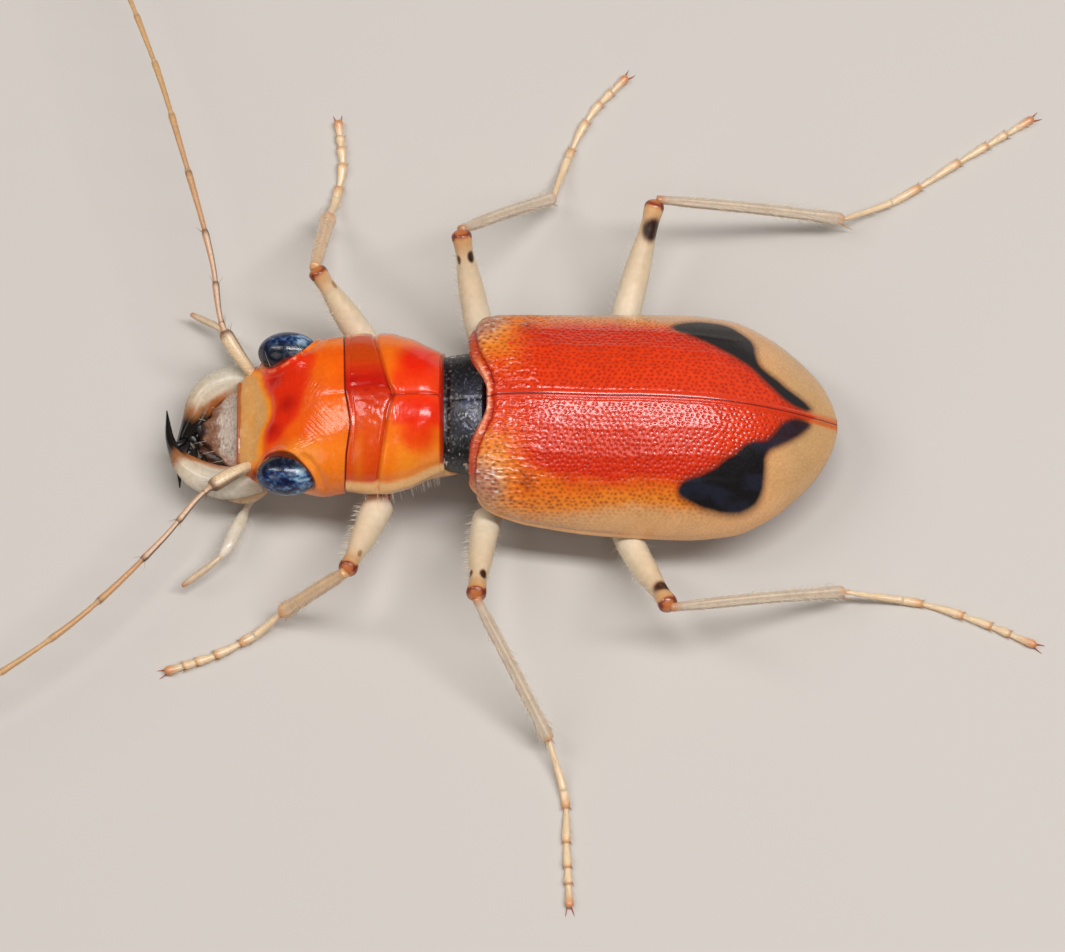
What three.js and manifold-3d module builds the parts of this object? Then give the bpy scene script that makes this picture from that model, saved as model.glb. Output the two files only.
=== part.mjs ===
// Tiger beetle, life size, standing still. Millimetres, +Z up, head towards -X, its left side towards -Y.
// The frame's origin is on the floor under the middle of the overall outline, feelers and feet included.
import * as THREE from "three";
import { mergeVertices } from "three/addons/utils/BufferGeometryUtils.js";
import Module from "manifold-3d";

// ---------------------------------------------------------------- driving dimensions (mm)
const ORIGIN = [2.62, -1.05, 0]; // added to every point, so that the outline is centred on the origin
const GAP = 0.03; // clearance left where two pieces meet
const ELYTRA_FRONT = -1.22; // front edge of the wing cases on the midline
const ELYTRA_END = 8.19; // tip of the wing cases
const SHOULDER_REACH = 0.46; // how far each shoulder stands forward of the midline edge
const SHELL = 0.5; // thickness of a wing case
const ARCH = [2.0, 1.62]; // roundness of the wing cases' section at the shoulders and behind: 2 is an ellipse
const BODY_SPLIT = 2.35; // hind edge of the metathorax
const PRONOTUM = [-4.84, -2.36]; // front and hind edge of the pronotum
const COLLAR = [-2.33, -1.25]; // the black collar between pronotum and wing cases
const HEAD = [-7.82, -4.88]; // clypeus edge and hind edge of the head
const EYE = { x: -6.54, y: 1.74, z: 2.66, r: [0.83, 0.57, 0.62] };
const LEAN = 0.1; // how far the body behind the shoulders stands towards the left
const FLAT = Math.cos(Math.PI / 8); // a sole is the flat side of an eight-sided section
const FEELER = 0.25; // radius of a feeler
const LIMB = 0.25; // radius of a shin

// ---------------------------------------------------------------- numbers
const clamp = (v, a, b) => Math.min(b, Math.max(a, v));
const mix = (a, b, t) => a + (b - a) * t;
const smooth = (a, b, v) => {
  const t = clamp((v - a) / (b - a), 0, 1);
  return t * t * (3 - 2 * t);
};
const bump = (v, c, w) => Math.exp(-(((v - c) / w) ** 2));
const sgnPow = (v, p) => Math.sign(v) * Math.abs(v) ** p;

// A smooth curve through [x, y] stations that never overshoots them.
function curve(table) {
  const n = table.length,
    d = [],
    m = [];
  for (let i = 0; i < n - 1; i++)
    d.push((table[i + 1][1] - table[i][1]) / (table[i + 1][0] - table[i][0]));
  for (let i = 0; i < n; i++) {
    if (i === 0) m.push(d[0]);
    else if (i === n - 1) m.push(d[n - 2]);
    else if (d[i - 1] * d[i] <= 0) m.push(0);
    else m.push((2 * d[i - 1] * d[i]) / (d[i - 1] + d[i]));
  }
  return (x) => {
    if (x <= table[0][0]) return table[0][1];
    if (x >= table[n - 1][0]) return table[n - 1][1];
    let i = 0;
    while (x > table[i + 1][0]) i++;
    const h = table[i + 1][0] - table[i][0],
      t = (x - table[i][0]) / h;
    return (
      table[i][1] * (1 + 2 * t) * (1 - t) ** 2 +
      m[i] * h * t * (1 - t) ** 2 +
      table[i + 1][1] * t * t * (3 - 2 * t) -
      m[i + 1] * h * t * t * (1 - t)
    );
  };
}

// ---------------------------------------------------------------- outlines of the body along X
// a: half width, top and bottom: heights above the floor, mid: height of the widest line
const elytraWidth = curve([[-1.22, 2.1], [-1.05, 2.42], [-0.85, 2.66], [-0.5, 2.84], [0.1, 2.98], [1.8, 3.14], [4.0, 3.2], [5.3, 3.07], [6.3, 2.62], [7.1, 1.98], [7.7, 1.3], [8.05, 0.62], [8.19, 0.12]]);
const elytraTop = curve([[-1.22, 4.02], [-0.9, 4.2], [0.7, 4.38], [2.6, 4.38], [4.4, 4.16], [5.6, 3.74], [6.7, 3.14], [7.5, 2.58], [8.19, 2.02]]);
const elytraRim = curve([[-1.22, 2.9], [-1.0, 2.72], [-0.6, 2.42], [0, 2.14], [2.4, 1.94], [4.5, 1.8], [6.2, 1.76], [7.4, 1.82], [8.19, 1.92]]);
const bellyBottom = curve([[-1.25, 1.1], [0, 0.92], [2.2, 0.9], [4.2, 0.98], [5.8, 1.12], [7.2, 1.44], [8.0, 1.76]]);

const prothorax = {
  a: curve([[-4.84, 2.18], [-4.4, 2.23], [-3.9, 2.22], [-3.5, 2.13], [-3.2, 2.03], [-2.9, 1.87], [-2.6, 1.74], [-2.36, 1.66]]),
  top: (x) =>
    curve([[-4.84, 4.02], [-4.4, 4.12], [-3.4, 4.2], [-2.8, 4.22], [-2.5, 4.14], [-2.36, 3.98]])(x) - 0.1 * bump(x, -3.93, 0.11),
  bottom: curve([[-4.84, 1.5], [-4.2, 1.34], [-3.2, 1.3], [-2.36, 1.42]]),
  mid: curve([[-4.84, 2.66], [-3.6, 2.6], [-2.36, 2.64]]),
  up: () => 2.0,
  down: 2.0,
};
const collar = {
  a: curve([[-2.33, 1.58], [-1.9, 1.64], [-1.25, 1.76]]),
  top: curve([[-2.33, 3.72], [-1.8, 3.86], [-1.25, 3.9]]),
  bottom: curve([[-2.33, 1.4], [-1.25, 1.2]]),
  mid: curve([[-2.33, 2.66], [-1.25, 2.6]]),
  up: () => 2.2,
  down: 2.1,
};
const head = {
  a: curve([[-7.82, 1.22], [-7.6, 1.5], [-7.2, 1.72], [-6.6, 1.84], [-6.0, 2.0], [-5.5, 2.13], [-4.88, 2.16]]),
  top: curve([[-7.82, 2.06], [-7.5, 2.38], [-7.0, 2.86], [-6.5, 3.26], [-6.0, 3.58], [-5.5, 3.82], [-4.88, 3.98]]),
  bottom: curve([[-7.82, 1.56], [-7.4, 1.34], [-6.8, 1.24], [-6.0, 1.26], [-4.88, 1.5]]),
  mid: curve([[-7.82, 1.74], [-7.0, 1.92], [-6.2, 2.1], [-5.4, 2.3], [-4.88, 2.46]]),
  up: curve([[-7.82, 2.35], [-7.3, 2.6], [-6.6, 3.3], [-5.9, 3.0], [-5.2, 2.5], [-4.88, 2.3]]),
  down: 2.0,
};

// ---------------------------------------------------------------- solids from rings of points
const V = (x, y, z) => new THREE.Vector3(x, y, z);

// Rings of equal count, front to back, closed by fans; each ring runs round the same way.
function loft(rings) {
  const n = rings[0].length,
    pts = [],
    idx = [];
  rings.forEach((r) => r.forEach((p) => pts.push(p)));
  for (let i = 0; i < rings.length - 1; i++)
    for (let j = 0; j < n; j++) {
      const a = i * n + j,
        b = i * n + ((j + 1) % n),
        c = a + n,
        d = b + n;
      idx.push(a, c, b, b, c, d);
    }
  const capEnd = (start, flip) => {
    const mid = V(0, 0, 0);
    for (let j = 0; j < n; j++) mid.add(pts[start + j]);
    mid.divideScalar(n);
    pts.push(mid);
    const m = pts.length - 1;
    for (let j = 0; j < n; j++) {
      const a = start + j,
        b = start + ((j + 1) % n);
      if (flip) idx.push(m, b, a);
      else idx.push(m, a, b);
    }
  };
  capEnd(0, false);
  capEnd((rings.length - 1) * n, true);
  return { pts, idx };
}

// Rings whose outline isn't convex: the ends are triangulated in the plane of Y and Z.
function loftOutline(rings) {
  const n = rings[0].length,
    pts = [],
    idx = [];
  rings.forEach((r) => r.forEach((p) => pts.push(p)));
  for (let i = 0; i < rings.length - 1; i++)
    for (let j = 0; j < n; j++) {
      const a = i * n + j,
        b = i * n + ((j + 1) % n),
        c = a + n,
        d = b + n;
      idx.push(a, c, b, b, c, d);
    }
  for (const [start, flip] of [[0, false], [(rings.length - 1) * n, true]]) {
    const flat = rings[start / n].map((p) => new THREE.Vector2(p.y, p.z));
    const area = THREE.ShapeUtils.area(flat);
    for (const [a, b, c] of THREE.ShapeUtils.triangulateShape(flat, [])) {
      const ccw = (flat[b].x - flat[a].x) * (flat[c].y - flat[a].y) - (flat[b].y - flat[a].y) * (flat[c].x - flat[a].x) > 0;
      const along = ccw === area > 0;
      if (along !== flip) idx.push(start + a, start + b, start + c);
      else idx.push(start + a, start + c, start + b);
    }
  }
  return { pts, idx };
}

function geometry({ pts, idx }) {
  const g = new THREE.BufferGeometry();
  const f = new Float32Array(pts.length * 3);
  pts.forEach((p, i) => f.set([p.x, p.y, p.z], i * 3));
  g.setAttribute("position", new THREE.BufferAttribute(f, 3));
  g.setIndex(idx);
  return mergeVertices(g, 1e-4);
}

// ---------------------------------------------------------------- joining and cutting
const wasm = await Module();
wasm.setup();
function solid(shape) {
  const g = shape.isBufferGeometry ? shape : geometry(shape);
  const make = (tri) => new wasm.Manifold(new wasm.Mesh({ numProp: 3, vertProperties: new Float32Array(g.attributes.position.array), triVerts: tri }));
  const tri = new Uint32Array(g.index.array);
  let s = make(tri);
  if (s.volume() < 0) {
    for (let i = 0; i < tri.length; i += 3) [tri[i + 1], tri[i + 2]] = [tri[i + 2], tri[i + 1]];
    s = make(tri);
  }
  return s;
}

// ---------------------------------------------------------------- body sections
// One ring across the body at x: superellipse halves above and below the widest line.
function section(part, x, count, grow = 0) {
  const ring = [],
    a = part.a(x) + grow,
    t = part.top(x) + grow,
    b = part.bottom(x) - grow,
    m = part.mid(x);
  for (let k = 0; k < count; k++) {
    const th = (2 * Math.PI * k) / count,
      c = Math.cos(th),
      s = Math.sin(th),
      e = 2 / (s >= 0 ? part.up(x) : part.down);
    ring.push(V(x, a * sgnPow(c, e), m + (s >= 0 ? t - m : m - b) * sgnPow(s, e)));
  }
  return ring;
}
function bodyPiece(part, x0, x1, steps, count, grow = 0) {
  const rings = [];
  for (let i = 0; i <= steps; i++) {
    const x = mix(x0, x1, i / steps);
    rings.push(section(part, x, count, grow));
  }
  if (grow > 0) {
    rings[0].forEach((p) => (p.x -= grow));
    rings[rings.length - 1].forEach((p) => (p.x += grow));
  }
  return loft(rings);
}

function ellipsoid(c, r, around = 14, down = 8) {
  const g = new THREE.SphereGeometry(1, around, down);
  g.deleteAttribute("normal");
  g.deleteAttribute("uv");
  g.rotateX(Math.PI / 2);
  g.scale(...r);
  g.translate(...c);
  return mergeVertices(g, 1e-4);
}

// ---------------------------------------------------------------- wing cases
// side: -1 left, +1 right. u runs from the shoulder to the tip, phi from the suture to the rim.
const lean = (x) => -LEAN * smooth(-1.5, 2.5, x);
const elytronX = (u) => ELYTRA_FRONT + (ELYTRA_END - ELYTRA_FRONT) * Math.sin((u * Math.PI) / 2) ** 1.12;
function elytronPoint(x, phi, inset, side, grow = 0) {
  const w0 = elytraWidth(x),
    rim = elytraRim(x),
    h0 = elytraTop(x) - rim;
  const front = smooth(ELYTRA_FRONT + 0.42, ELYTRA_FRONT, x); // the front edge rounds down
  const w = w0 - inset * Math.min(SHELL, 0.42 * w0) + grow - 0.16 * front * front;
  const h = h0 * (1 - 0.09 * front * front) - inset * Math.min(SHELL, 0.42 * h0) + grow;
  const e = 2 / mix(ARCH[0], ARCH[1], smooth(-0.9, 1.6, x));
  const s = Math.sin(phi) ** e,
    c = Math.cos(phi) ** e;
  const reach = SHOULDER_REACH * smooth(0.1, 0.72, s) * Math.exp(-(((x - ELYTRA_FRONT) / 0.95) ** 2));
  return V(x - reach, side * Math.max(w * s, GAP / 2), rim + h * c);
}
function elytron(side, grow = 0) {
  const rings = [],
    steps = 16,
    across = 8;
  for (let i = 0; i <= steps; i++) {
    const x = elytronX(mix(0, 0.985, i / steps)),
      ring = [];
    for (let j = 0; j <= across; j++) ring.push(elytronPoint(x, (j / across) * (Math.PI / 2), 0, side, grow));
    for (let j = across; j >= 0; j--) {
      const p = elytronPoint(x, (j / across) * (Math.PI / 2), 1, side);
      p.z -= grow;
      ring.push(p);
    }
    ring.forEach((p) => (p.y += lean(x)));
    rings.push(ring);
  }
  return loftOutline(rings);
}

// Under the wing cases: the trunk follows their inner face, and swells out to the rim below them.
function trunkRing(x, grow = 0) {
  const ring = [],
    rim = elytraRim(x),
    half = [];
  const across = 5;
  const lift = rim - 0.06;
  const inner = elytraWidth(x);
  const side = inner - Math.min(0.26, 0.3 * inner);
  const bottom = bellyBottom(x) - grow;
  for (let j = 0; j <= across; j++) {
    const p = elytronPoint(x, (j / across) * (Math.PI / 2), 1, 1);
    const shrink = 0.05;
    half.push(V(x, j === 0 ? 0 : Math.max(p.y - shrink, 0.04 * j), p.z - shrink + (j === across ? -0.001 : 0)));
  }
  for (let j = 0; j <= across; j++) {
    const th = (j / across) * (Math.PI / 2);
    half.push(V(x, (side + grow) * Math.cos(th) ** 0.9, lift - (lift - bottom) * Math.sin(th) ** 0.9));
  }
  half.forEach((p) => ring.push(p));
  for (let j = half.length - 2; j > 0; j--) ring.push(V(x, -half[j].y, half[j].z));
  ring.forEach((p) => (p.y += lean(x)));
  return ring;
}
function trunk(x0, x1, steps, grow = 0) {
  const rings = [];
  for (let i = 0; i <= steps; i++) rings.push(trunkRing(mix(x0, x1, i / steps), grow));
  if (grow > 0) {
    rings[0].forEach((p) => (p.x -= grow));
    rings[rings.length - 1].forEach((p) => (p.x += grow));
  }
  return loftOutline(rings);
}

// ---------------------------------------------------------------- limbs
// Smooth path through a few joints, sampled evenly by length.
function path(points, n) {
  const c = new THREE.CatmullRomCurve3(points.map((p) => V(...p)), false, "centripetal");
  return Array.from({ length: n + 1 }, (_, i) => ({ p: c.getPointAt(i / n), t: c.getTangentAt(i / n), s: i / n }));
}
// Tube with its flat sides level; radius(s) along it, flatten squeezes it in the plane of the section.
function tube(stations, radius, sides = 8, ends = 0.55, tall = 1) {
  const rings = [];
  const ring = (q, r, shift) => {
    const t = q.t.clone().normalize();
    let across = V(0, 0, 1).cross(t);
    if (across.length() < 0.2) across = V(0, 1, 0).cross(t);
    across.normalize();
    const up = t.clone().cross(across).normalize();
    const out = [];
    for (let k = 0; k < sides; k++) {
      const a = (2 * Math.PI * (k + 0.5)) / sides;
      out.push(
        q.p
          .clone()
          .addScaledVector(t, shift)
          .addScaledVector(across, r * Math.cos(a))
          .addScaledVector(up, r * tall * Math.sin(a)),
      );
    }
    return out;
  };
  const first = stations[0],
    last = stations[stations.length - 1];
  const r0 = radius(0),
    r1 = radius(1);
  rings.push(ring(first, r0 * 0.6, -r0 * ends));
  stations.forEach((q) => rings.push(ring(q, radius(q.s), 0)));
  rings.push(ring(last, r1 * 0.6, r1 * ends));
  return loft(rings);
}

// Foot: five short joints, each a little wider at its far end, with a level sole.
const SOLE = 0;
function tarsus(points, count = 5) { // count: joints of one foot
  const c = new THREE.CatmullRomCurve3(points.map((p) => V(...p)), false, "centripetal");
  const lengths = [0, 0.4, 0.61, 0.76, 0.86, 1]; // where the five joints end
  const rings = [];
  const place = (s, r, shift = 0) => {
    const p = c.getPointAt(s),
      t = c.getTangentAt(s);
    t.z *= p.z > 0.32 ? 1 : 0;
    t.normalize();
    p.addScaledVector(t, shift);
    const across = V(0, 0, 1).cross(t).normalize(),
      up = t.clone().cross(across);
    const level = r * FLAT + SOLE;
    if (p.z < level || p.z < 0.3) p.z = level;
    const out = [];
    for (let k = 0; k < 8; k++) {
      const a = (2 * Math.PI * (k + 0.5)) / 8;
      const q = p.clone().addScaledVector(across, r * Math.cos(a)).addScaledVector(up, r * Math.sin(a));
      if (q.z < 1e-3) q.z = SOLE;
      out.push(q);
    }
    return out;
  };
  rings.push(place(0, 0.17, -0.1));
  for (let i = 0; i < count; i++) {
    const a = lengths[i],
      b = lengths[i + 1];
    rings.push(place(mix(a, b, i ? 0.12 : 0.04), 0.235));
    rings.push(place(mix(a, b, 0.86), 0.26));
  }
  rings.push(place(1, 0.24));
  rings.push(place(1, 0.14, 0.1));
  return loft(rings);
}

// Joints of the six legs. hip, under the rim, knee, ankle, then the foot on the floor.
const LEGS = {
  front_left: { hip: [-3.72, -0.78, 1.16], bend: [-4.12, -2.2, 1.6], knee: [-4.93, -4.6, 3.02], ankle: [-6.68, -4.92, 0.66], foot: [[-7.62, -5.5, 0.24], [-8.55, -5.98, 0.24], [-9.78, -6.4, 0.24]] },
  front_right: { hip: [-3.72, 0.78, 1.16], bend: [-4.5, 2.35, 1.62], knee: [-5.85, 3.98, 3.2], ankle: [-5.56, 6.42, 0.74], foot: [[-5.36, 7.3, 0.26], [-5.22, 8.2, 0.24], [-5.34, 9.5, 0.24]] },
  mid_left: { hip: [-0.8, -0.85, 1.0], bend: [-1.24, -2.75, 1.62], knee: [-1.5, -5.34, 3.1], ankle: [0.44, -8.5, 0.62], foot: [[0.86, -9.95, 0.26], [0.9, -11.2, 0.24], [0.98, -12.95, 0.24]] },
  mid_right: { hip: [-0.72, 0.85, 1.0], bend: [-1.42, 2.8, 1.75], knee: [-1.94, 4.92, 3.6], ankle: [0.56, 7.05, 0.62], foot: [[1.05, 8.62, 0.26], [1.62, 9.75, 0.24], [2.58, 10.85, 0.24]] },
  hind_left: { hip: [1.95, -0.85, 0.9], bend: [2.6, -3.2, 1.42], knee: [3.64, -5.6, 3.02], ankle: [8.36, -4.34, 0.64], foot: [[10.3, -4.46, 0.24], [11.85, -4.95, 0.24], [13.46, -5.66, 0.24]] },
  hind_right: { hip: [1.95, 0.85, 0.9], bend: [2.5, 3.2, 1.42], knee: [3.34, 6.02, 3.06], ankle: [8.5, 6.42, 0.64], foot: [[10.15, 7.3, 0.24], [11.8, 8.38, 0.24], [13.76, 9.62, 0.24]] },
};
const FEMUR = { front: [0.35, 0.43, 0.38, 0.27], mid: [0.33, 0.4, 0.37, 0.28], hind: [0.33, 0.4, 0.38, 0.28] };

// ---------------------------------------------------------------- feelers, mouth
const FEELERS = {
  left: [[-7.72, -1.4, 2.3], [-8.72, -2.12, 2.42], [-9.86, -3.5, 2.42], [-12.0, -5.7, 2.5], [-14.4, -7.45, 2.42], [-16.9, -8.9, 2.05], [-19.0, -9.8, 1.55]],
  right: [[-7.68, 1.52, 2.34], [-8.3, 2.45, 2.66], [-8.62, 4.3, 2.9], [-9.44, 7.3, 3.2], [-10.4, 10.4, 3.1], [-11.6, 13.2, 2.8], [-13.2, 15.0, 2.4]],
};

// ---------------------------------------------------------------- build
const group = new THREE.Group();
group.name = "tiger_beetle";
const LOOK = {
  shell_orange: { color: 0xd2541c, roughness: 0.28 },
  shell_black: { color: 0x14161c, roughness: 0.5 },
  head_orange: { color: 0xdc6a22, roughness: 0.26 },
  belly: { color: 0xb9854c, roughness: 0.42 },
  limb: { color: 0xe4d3a2, roughness: 0.38 },
  joint_brown: { color: 0x7a3a1c, roughness: 0.4 },
  eye: { color: 0x1b2a44, roughness: 0.12 },
  ivory: { color: 0xe8dcc0, roughness: 0.3 },
  feeler: { color: 0xd0a866, roughness: 0.45 },
};
function add(name, made, look) {
  const m = made.getMesh(),
    n = m.numProp,
    f = new Float32Array(m.numVert * 3);
  for (let i = 0; i < m.numVert; i++) for (let k = 0; k < 3; k++) f[i * 3 + k] = m.vertProperties[i * n + k] + ORIGIN[k];
  const g = new THREE.BufferGeometry().setAttribute("position", new THREE.BufferAttribute(f, 3)).setIndex(new THREE.BufferAttribute(new Uint32Array(m.triVerts), 1));
  g.computeVertexNormals();
  const mesh = new THREE.Mesh(g, new THREE.MeshStandardMaterial({ ...LOOK[look], metalness: 0 }));
  mesh.name = name;
  group.add(mesh);
}
// Keeps the largest piece that a cut leaves.
const largest = (s) => s.decompose().sort((a, b) => b.volume() - a.volume())[0];

// Body
const headBase = (grow = 0) => solid(bodyPiece(head, HEAD[0], HEAD[1], 10, 18, grow));
const eyes = {},
  eyeSolid = (side, grow = 0) => {
    const y = side * EYE.y;
    return solid(ellipsoid([EYE.x, y, EYE.z], EYE.r.map((r) => r + grow), 14, 7));
  };
let headSolid = headBase();
for (const side of [-1, 1]) {
  const name = side < 0 ? "left" : "right";
  headSolid = headSolid.subtract(eyeSolid(side, GAP));
  eyes[name] = eyeSolid(side);
}
add("head", largest(headSolid), "head_orange");
add("eye_left", eyes.left, "eye");
add("eye_right", eyes.right, "eye");

const prothoraxSolid = solid(bodyPiece(prothorax, PRONOTUM[0], PRONOTUM[1], 12, 16));
const collarSolid = solid(bodyPiece(collar, COLLAR[0], COLLAR[1], 3, 20));
const metathoraxSolid = solid(trunk(ELYTRA_FRONT + 0.02, BODY_SPLIT, 6));
const abdomenSolid = solid(trunk(BODY_SPLIT + GAP, 7.86, 8));
const elytra = { left: solid(elytron(-1)), right: solid(elytron(1)) };
const prothoraxCut = solid(bodyPiece(prothorax, PRONOTUM[0], PRONOTUM[1], 12, 16, GAP));
const collarCut = solid(bodyPiece(collar, COLLAR[0], COLLAR[1], 3, 20, GAP));
const trunkCut = solid(trunk(ELYTRA_FRONT + 0.02, 7.86, 12, GAP));

add("prothorax", prothoraxSolid, "head_orange");
for (const side of ["left", "right"]) add("elytron_" + side, largest(elytra[side].subtract(collarCut)), "shell_orange");
add("mesothorax", collarSolid, "shell_black");

// Legs
let hips = null;
for (const [name, leg] of Object.entries(LEGS)) {
  const row = name.split("_")[0],
    side = name.endsWith("left") ? -1 : 1,
    r = FEMUR[row];
  const coxaR = row === "front" ? [0.5, 0.52, 0.5] : row === "mid" ? [0.5, 0.54, 0.42] : [0.62, 0.66, 0.34];
  const coxaAt = [leg.hip[0], leg.hip[1], leg.hip[2]];
  const coxaFull = solid(ellipsoid(coxaAt, coxaR, 9, 5));
  const coxaGrown = solid(ellipsoid(coxaAt, coxaR.map((v) => v + GAP), 9, 5));
  hips = hips ? hips.add(coxaGrown) : coxaGrown;
  // The first joint of the thigh bends round under the rim of the body.
  const start = V(...leg.hip).lerp(V(...leg.bend), 0.16);
  const femurPath = path([start.toArray(), leg.bend, leg.knee], 6);
  const femurRadius = curve([[0, r[0]], [0.28, r[1]], [0.62, r[2]], [0.9, r[3] - 0.02], [1, r[3] + 0.02]]);
  const femurTube = (grow) => solid(tube(femurPath, (s) => femurRadius(s) + grow, 8, 0.5));
  let femur = femurTube(0).subtract(coxaGrown);
  femur = femur.subtract(row === "front" ? prothoraxCut : trunkCut);
  if (row === "mid") femur = femur.subtract(collarCut).subtract(prothoraxCut);
  if (row !== "front") femur = femur.subtract(solid(elytron(side, GAP)));
  femur = largest(femur);
  const knee = V(...leg.knee),
    ankle = V(...leg.ankle);
  const tibiaPath = path([knee.toArray(), knee.clone().lerp(ankle, 0.5).add(V(0, 0, row === "front" ? 0.04 : 0.1)).toArray(), ankle.toArray()], 4);
  const tibiaRadius = curve([[0, 0.26], [0.2, LIMB], [0.7, LIMB], [1, 0.27]]);
  const tibiaFull = (grow) => solid(tube(tibiaPath, (s) => tibiaRadius(s) + grow, 8, 0.4));
  const tibia = largest(tibiaFull(0).subtract(femurTube(GAP)));
  const footPath = [ankle.toArray(), ...leg.foot];
  const foot = largest(solid(tarsus(footPath)).subtract(tibiaFull(GAP)));
  add("femur_" + name, femur, "limb");
  add("tibia_" + name, tibia, "limb");
  add("tarsus_" + name, foot, "limb");
  let coxa = coxaFull.subtract(row === "front" ? prothoraxCut : trunkCut);
  if (row === "mid") coxa = coxa.subtract(collarCut);
  add("coxa_" + name, largest(coxa), "joint_brown");
}
add("metathorax", largest(metathoraxSolid.subtract(collarCut)), "belly");
add("abdomen", largest(abdomenSolid), "belly");

// Upper lip: a broad plate that narrows to a point.
const lipRings = [];
for (let i = 0; i <= 6; i++) {
  const t = i / 6,
    x = mix(-7.86, -8.9, t),
    w = curve([[0, 1.14], [0.3, 1.12], [0.46, 1.0], [0.62, 0.74], [0.85, 0.42], [1, 0.18]])(t),
    z = mix(1.94, 1.36, t ** 0.9),
    h = curve([[0, 0.26], [0.6, 0.25], [1, 0.2]])(t),
    ring = [];
  for (let k = 0; k < 12; k++) {
    const a = (2 * Math.PI * k) / 12;
    ring.push(V(x, w * sgnPow(Math.cos(a), 0.8), z + h * sgnPow(Math.sin(a), 0.8) + 0.16 * (1 - Math.cos(a) ** 2) * (1 - t) - 0.1));
  }
  lipRings.push(ring);
}
const lip = solid(loft(lipRings));
const lipCut = solid(
  loft(
    lipRings.map((ring, i) => {
      const c = ring.reduce((s, p) => s.add(p), V(0, 0, 0)).divideScalar(ring.length);
      return ring.map((p) => {
        const d = p.clone().sub(c);
        d.x = 0;
        return p.clone().addScaledVector(d.normalize(), GAP).add(V(i === 0 ? GAP : i === 6 ? -GAP : 0, 0, 0));
      });
    }),
  ),
);
add("labrum", lip, "ivory");

// Jaws: sickles that cross in front of the lip, with teeth on the inside.
const JAWS = {
  left: { line: [[-7.3, -1.42, 1.5], [-8.3, -1.66, 1.44], [-9.0, -1.42, 1.38], [-9.48, -0.96, 1.3], [-9.74, -0.26, 1.2], [-9.86, 0.66, 1.12]] },
  right: { line: [[-7.3, 1.36, 1.5], [-8.2, 1.5, 1.44], [-8.8, 1.2, 1.34], [-9.17, 0.5, 1.12], [-9.5, -0.3, 0.82], [-9.5, -1.36, 0.6]] },
};
const jawRadius = curve([[0, 0.36], [0.25, 0.38], [0.5, 0.34], [0.72, 0.2], [1, 0.12]]);
const jaws = {};
const headCut = largest(headBase(GAP));
for (const [side, jaw] of Object.entries(JAWS)) {
  const stations = path(jaw.line, 9);
  let s = solid(tube(stations, jawRadius, 7, 0.5));
  const tooth = (at, to, r) => solid(tube(path([stations[at].p.toArray(), to], 2), curve([[0, r], [1, 0.09]]), 6, 0.4));
  const sy = side === "left" ? 1 : -1,
    q = stations[4].p;
  s = s.add(tooth(4, [q.x + 0.4, q.y + sy * 0.44, q.z - 0.16], 0.2));
  const q2 = stations[6].p;
  s = s.add(tooth(6, [q2.x + 0.5, q2.y + sy * 0.12, q2.z - 0.14], 0.16));
  jaws[side] = { full: s, line: stations };
}
const grownJawLeft = solid(tube(jaws.left.line, (s) => jawRadius(s) + GAP, 7, 0.5));
let jawRight = jaws.right.full.subtract(headCut).subtract(lipCut).subtract(grownJawLeft);
let jawLeft = jaws.left.full.subtract(headCut).subtract(lipCut).subtract(solid(tube(jaws.right.line, (s) => jawRadius(s) + GAP, 7, 0.5)));
jawLeft = largest(jawLeft);
jawRight = largest(jawRight);
const jawCut = solid(tube(jaws.left.line, (s) => jawRadius(s) + GAP, 7, 0.5)).add(solid(tube(jaws.right.line, (s) => jawRadius(s) + GAP, 7, 0.5)));
add("mandible_left", jawLeft, "ivory");
add("mandible_right", jawRight, "ivory");

// Palps: two pairs of short feelers below the jaws.
const PALPS = {
  palp_maxillary_left: [[[-7.1, -1.25, 1.2], [-7.7, -1.62, 1.02], [-8.4, -1.56, 0.76], [-8.9, -1.2, 0.56], [-9.2, -0.78, 0.4]], [0.34, 0.36, 0.27, 0.25]],
  palp_maxillary_right: [[[-7.1, 1.25, 1.2], [-7.7, 1.62, 1.0], [-8.4, 1.5, 0.74], [-8.9, 1.08, 0.54], [-9.2, 0.58, 0.4]], [0.34, 0.36, 0.27, 0.25]],
  palp_labial_left: [[[-7.1, -0.7, 0.94], [-7.64, -1.84, 0.6], [-8.0, -2.68, 0.71], [-8.3, -3.3, 0.76], [-9.4, -4.16, 0.55]], [0.27, 0.26, 0.3, 0.25]],
  palp_labial_right: [[[-7.1, 0.7, 0.96], [-7.66, 1.8, 0.6], [-8.0, 2.5, 0.68], [-8.3, 3.05, 0.7], [-9.3, 3.7, 0.52]], [0.27, 0.27, 0.3, 0.25]],
};
let palpsSoFar = null;
for (const [name, [line, r]] of Object.entries(PALPS)) {
  const stations = path(line, 6),
    radius = curve([[0, r[0]], [0.35, r[1]], [0.7, r[2]], [1, r[3] - 0.03]]);
  let s = solid(tube(stations, radius, 6, 0.5)).subtract(headCut).subtract(jawCut);
  if (palpsSoFar) s = s.subtract(palpsSoFar);
  s = largest(s);
  const grown = solid(tube(stations, (v) => radius(v) + GAP, 6, 0.5));
  palpsSoFar = palpsSoFar ? palpsSoFar.add(grown) : grown;
  add(name, s, "ivory");
}

// Feelers: eleven joints each, tapering to the tip.
for (const side of ["left", "right"]) {
  const stations = path(FEELERS[side], 17),
    radius = curve([[0, 0.3], [0.07, 0.33], [0.13, 0.27], [0.5, FEELER], [1, FEELER - 0.03]]);
  const s = largest(
    solid(tube(stations, radius, 6, 0.5))
      .subtract(headCut)
      .subtract(eyeSolid(-1, GAP))
      .subtract(eyeSolid(1, GAP))
      .subtract(jawCut)
      .subtract(lipCut)
      .subtract(palpsSoFar),
  );
  add("antenna_" + side, s, "feeler");
}

export default group;
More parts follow.
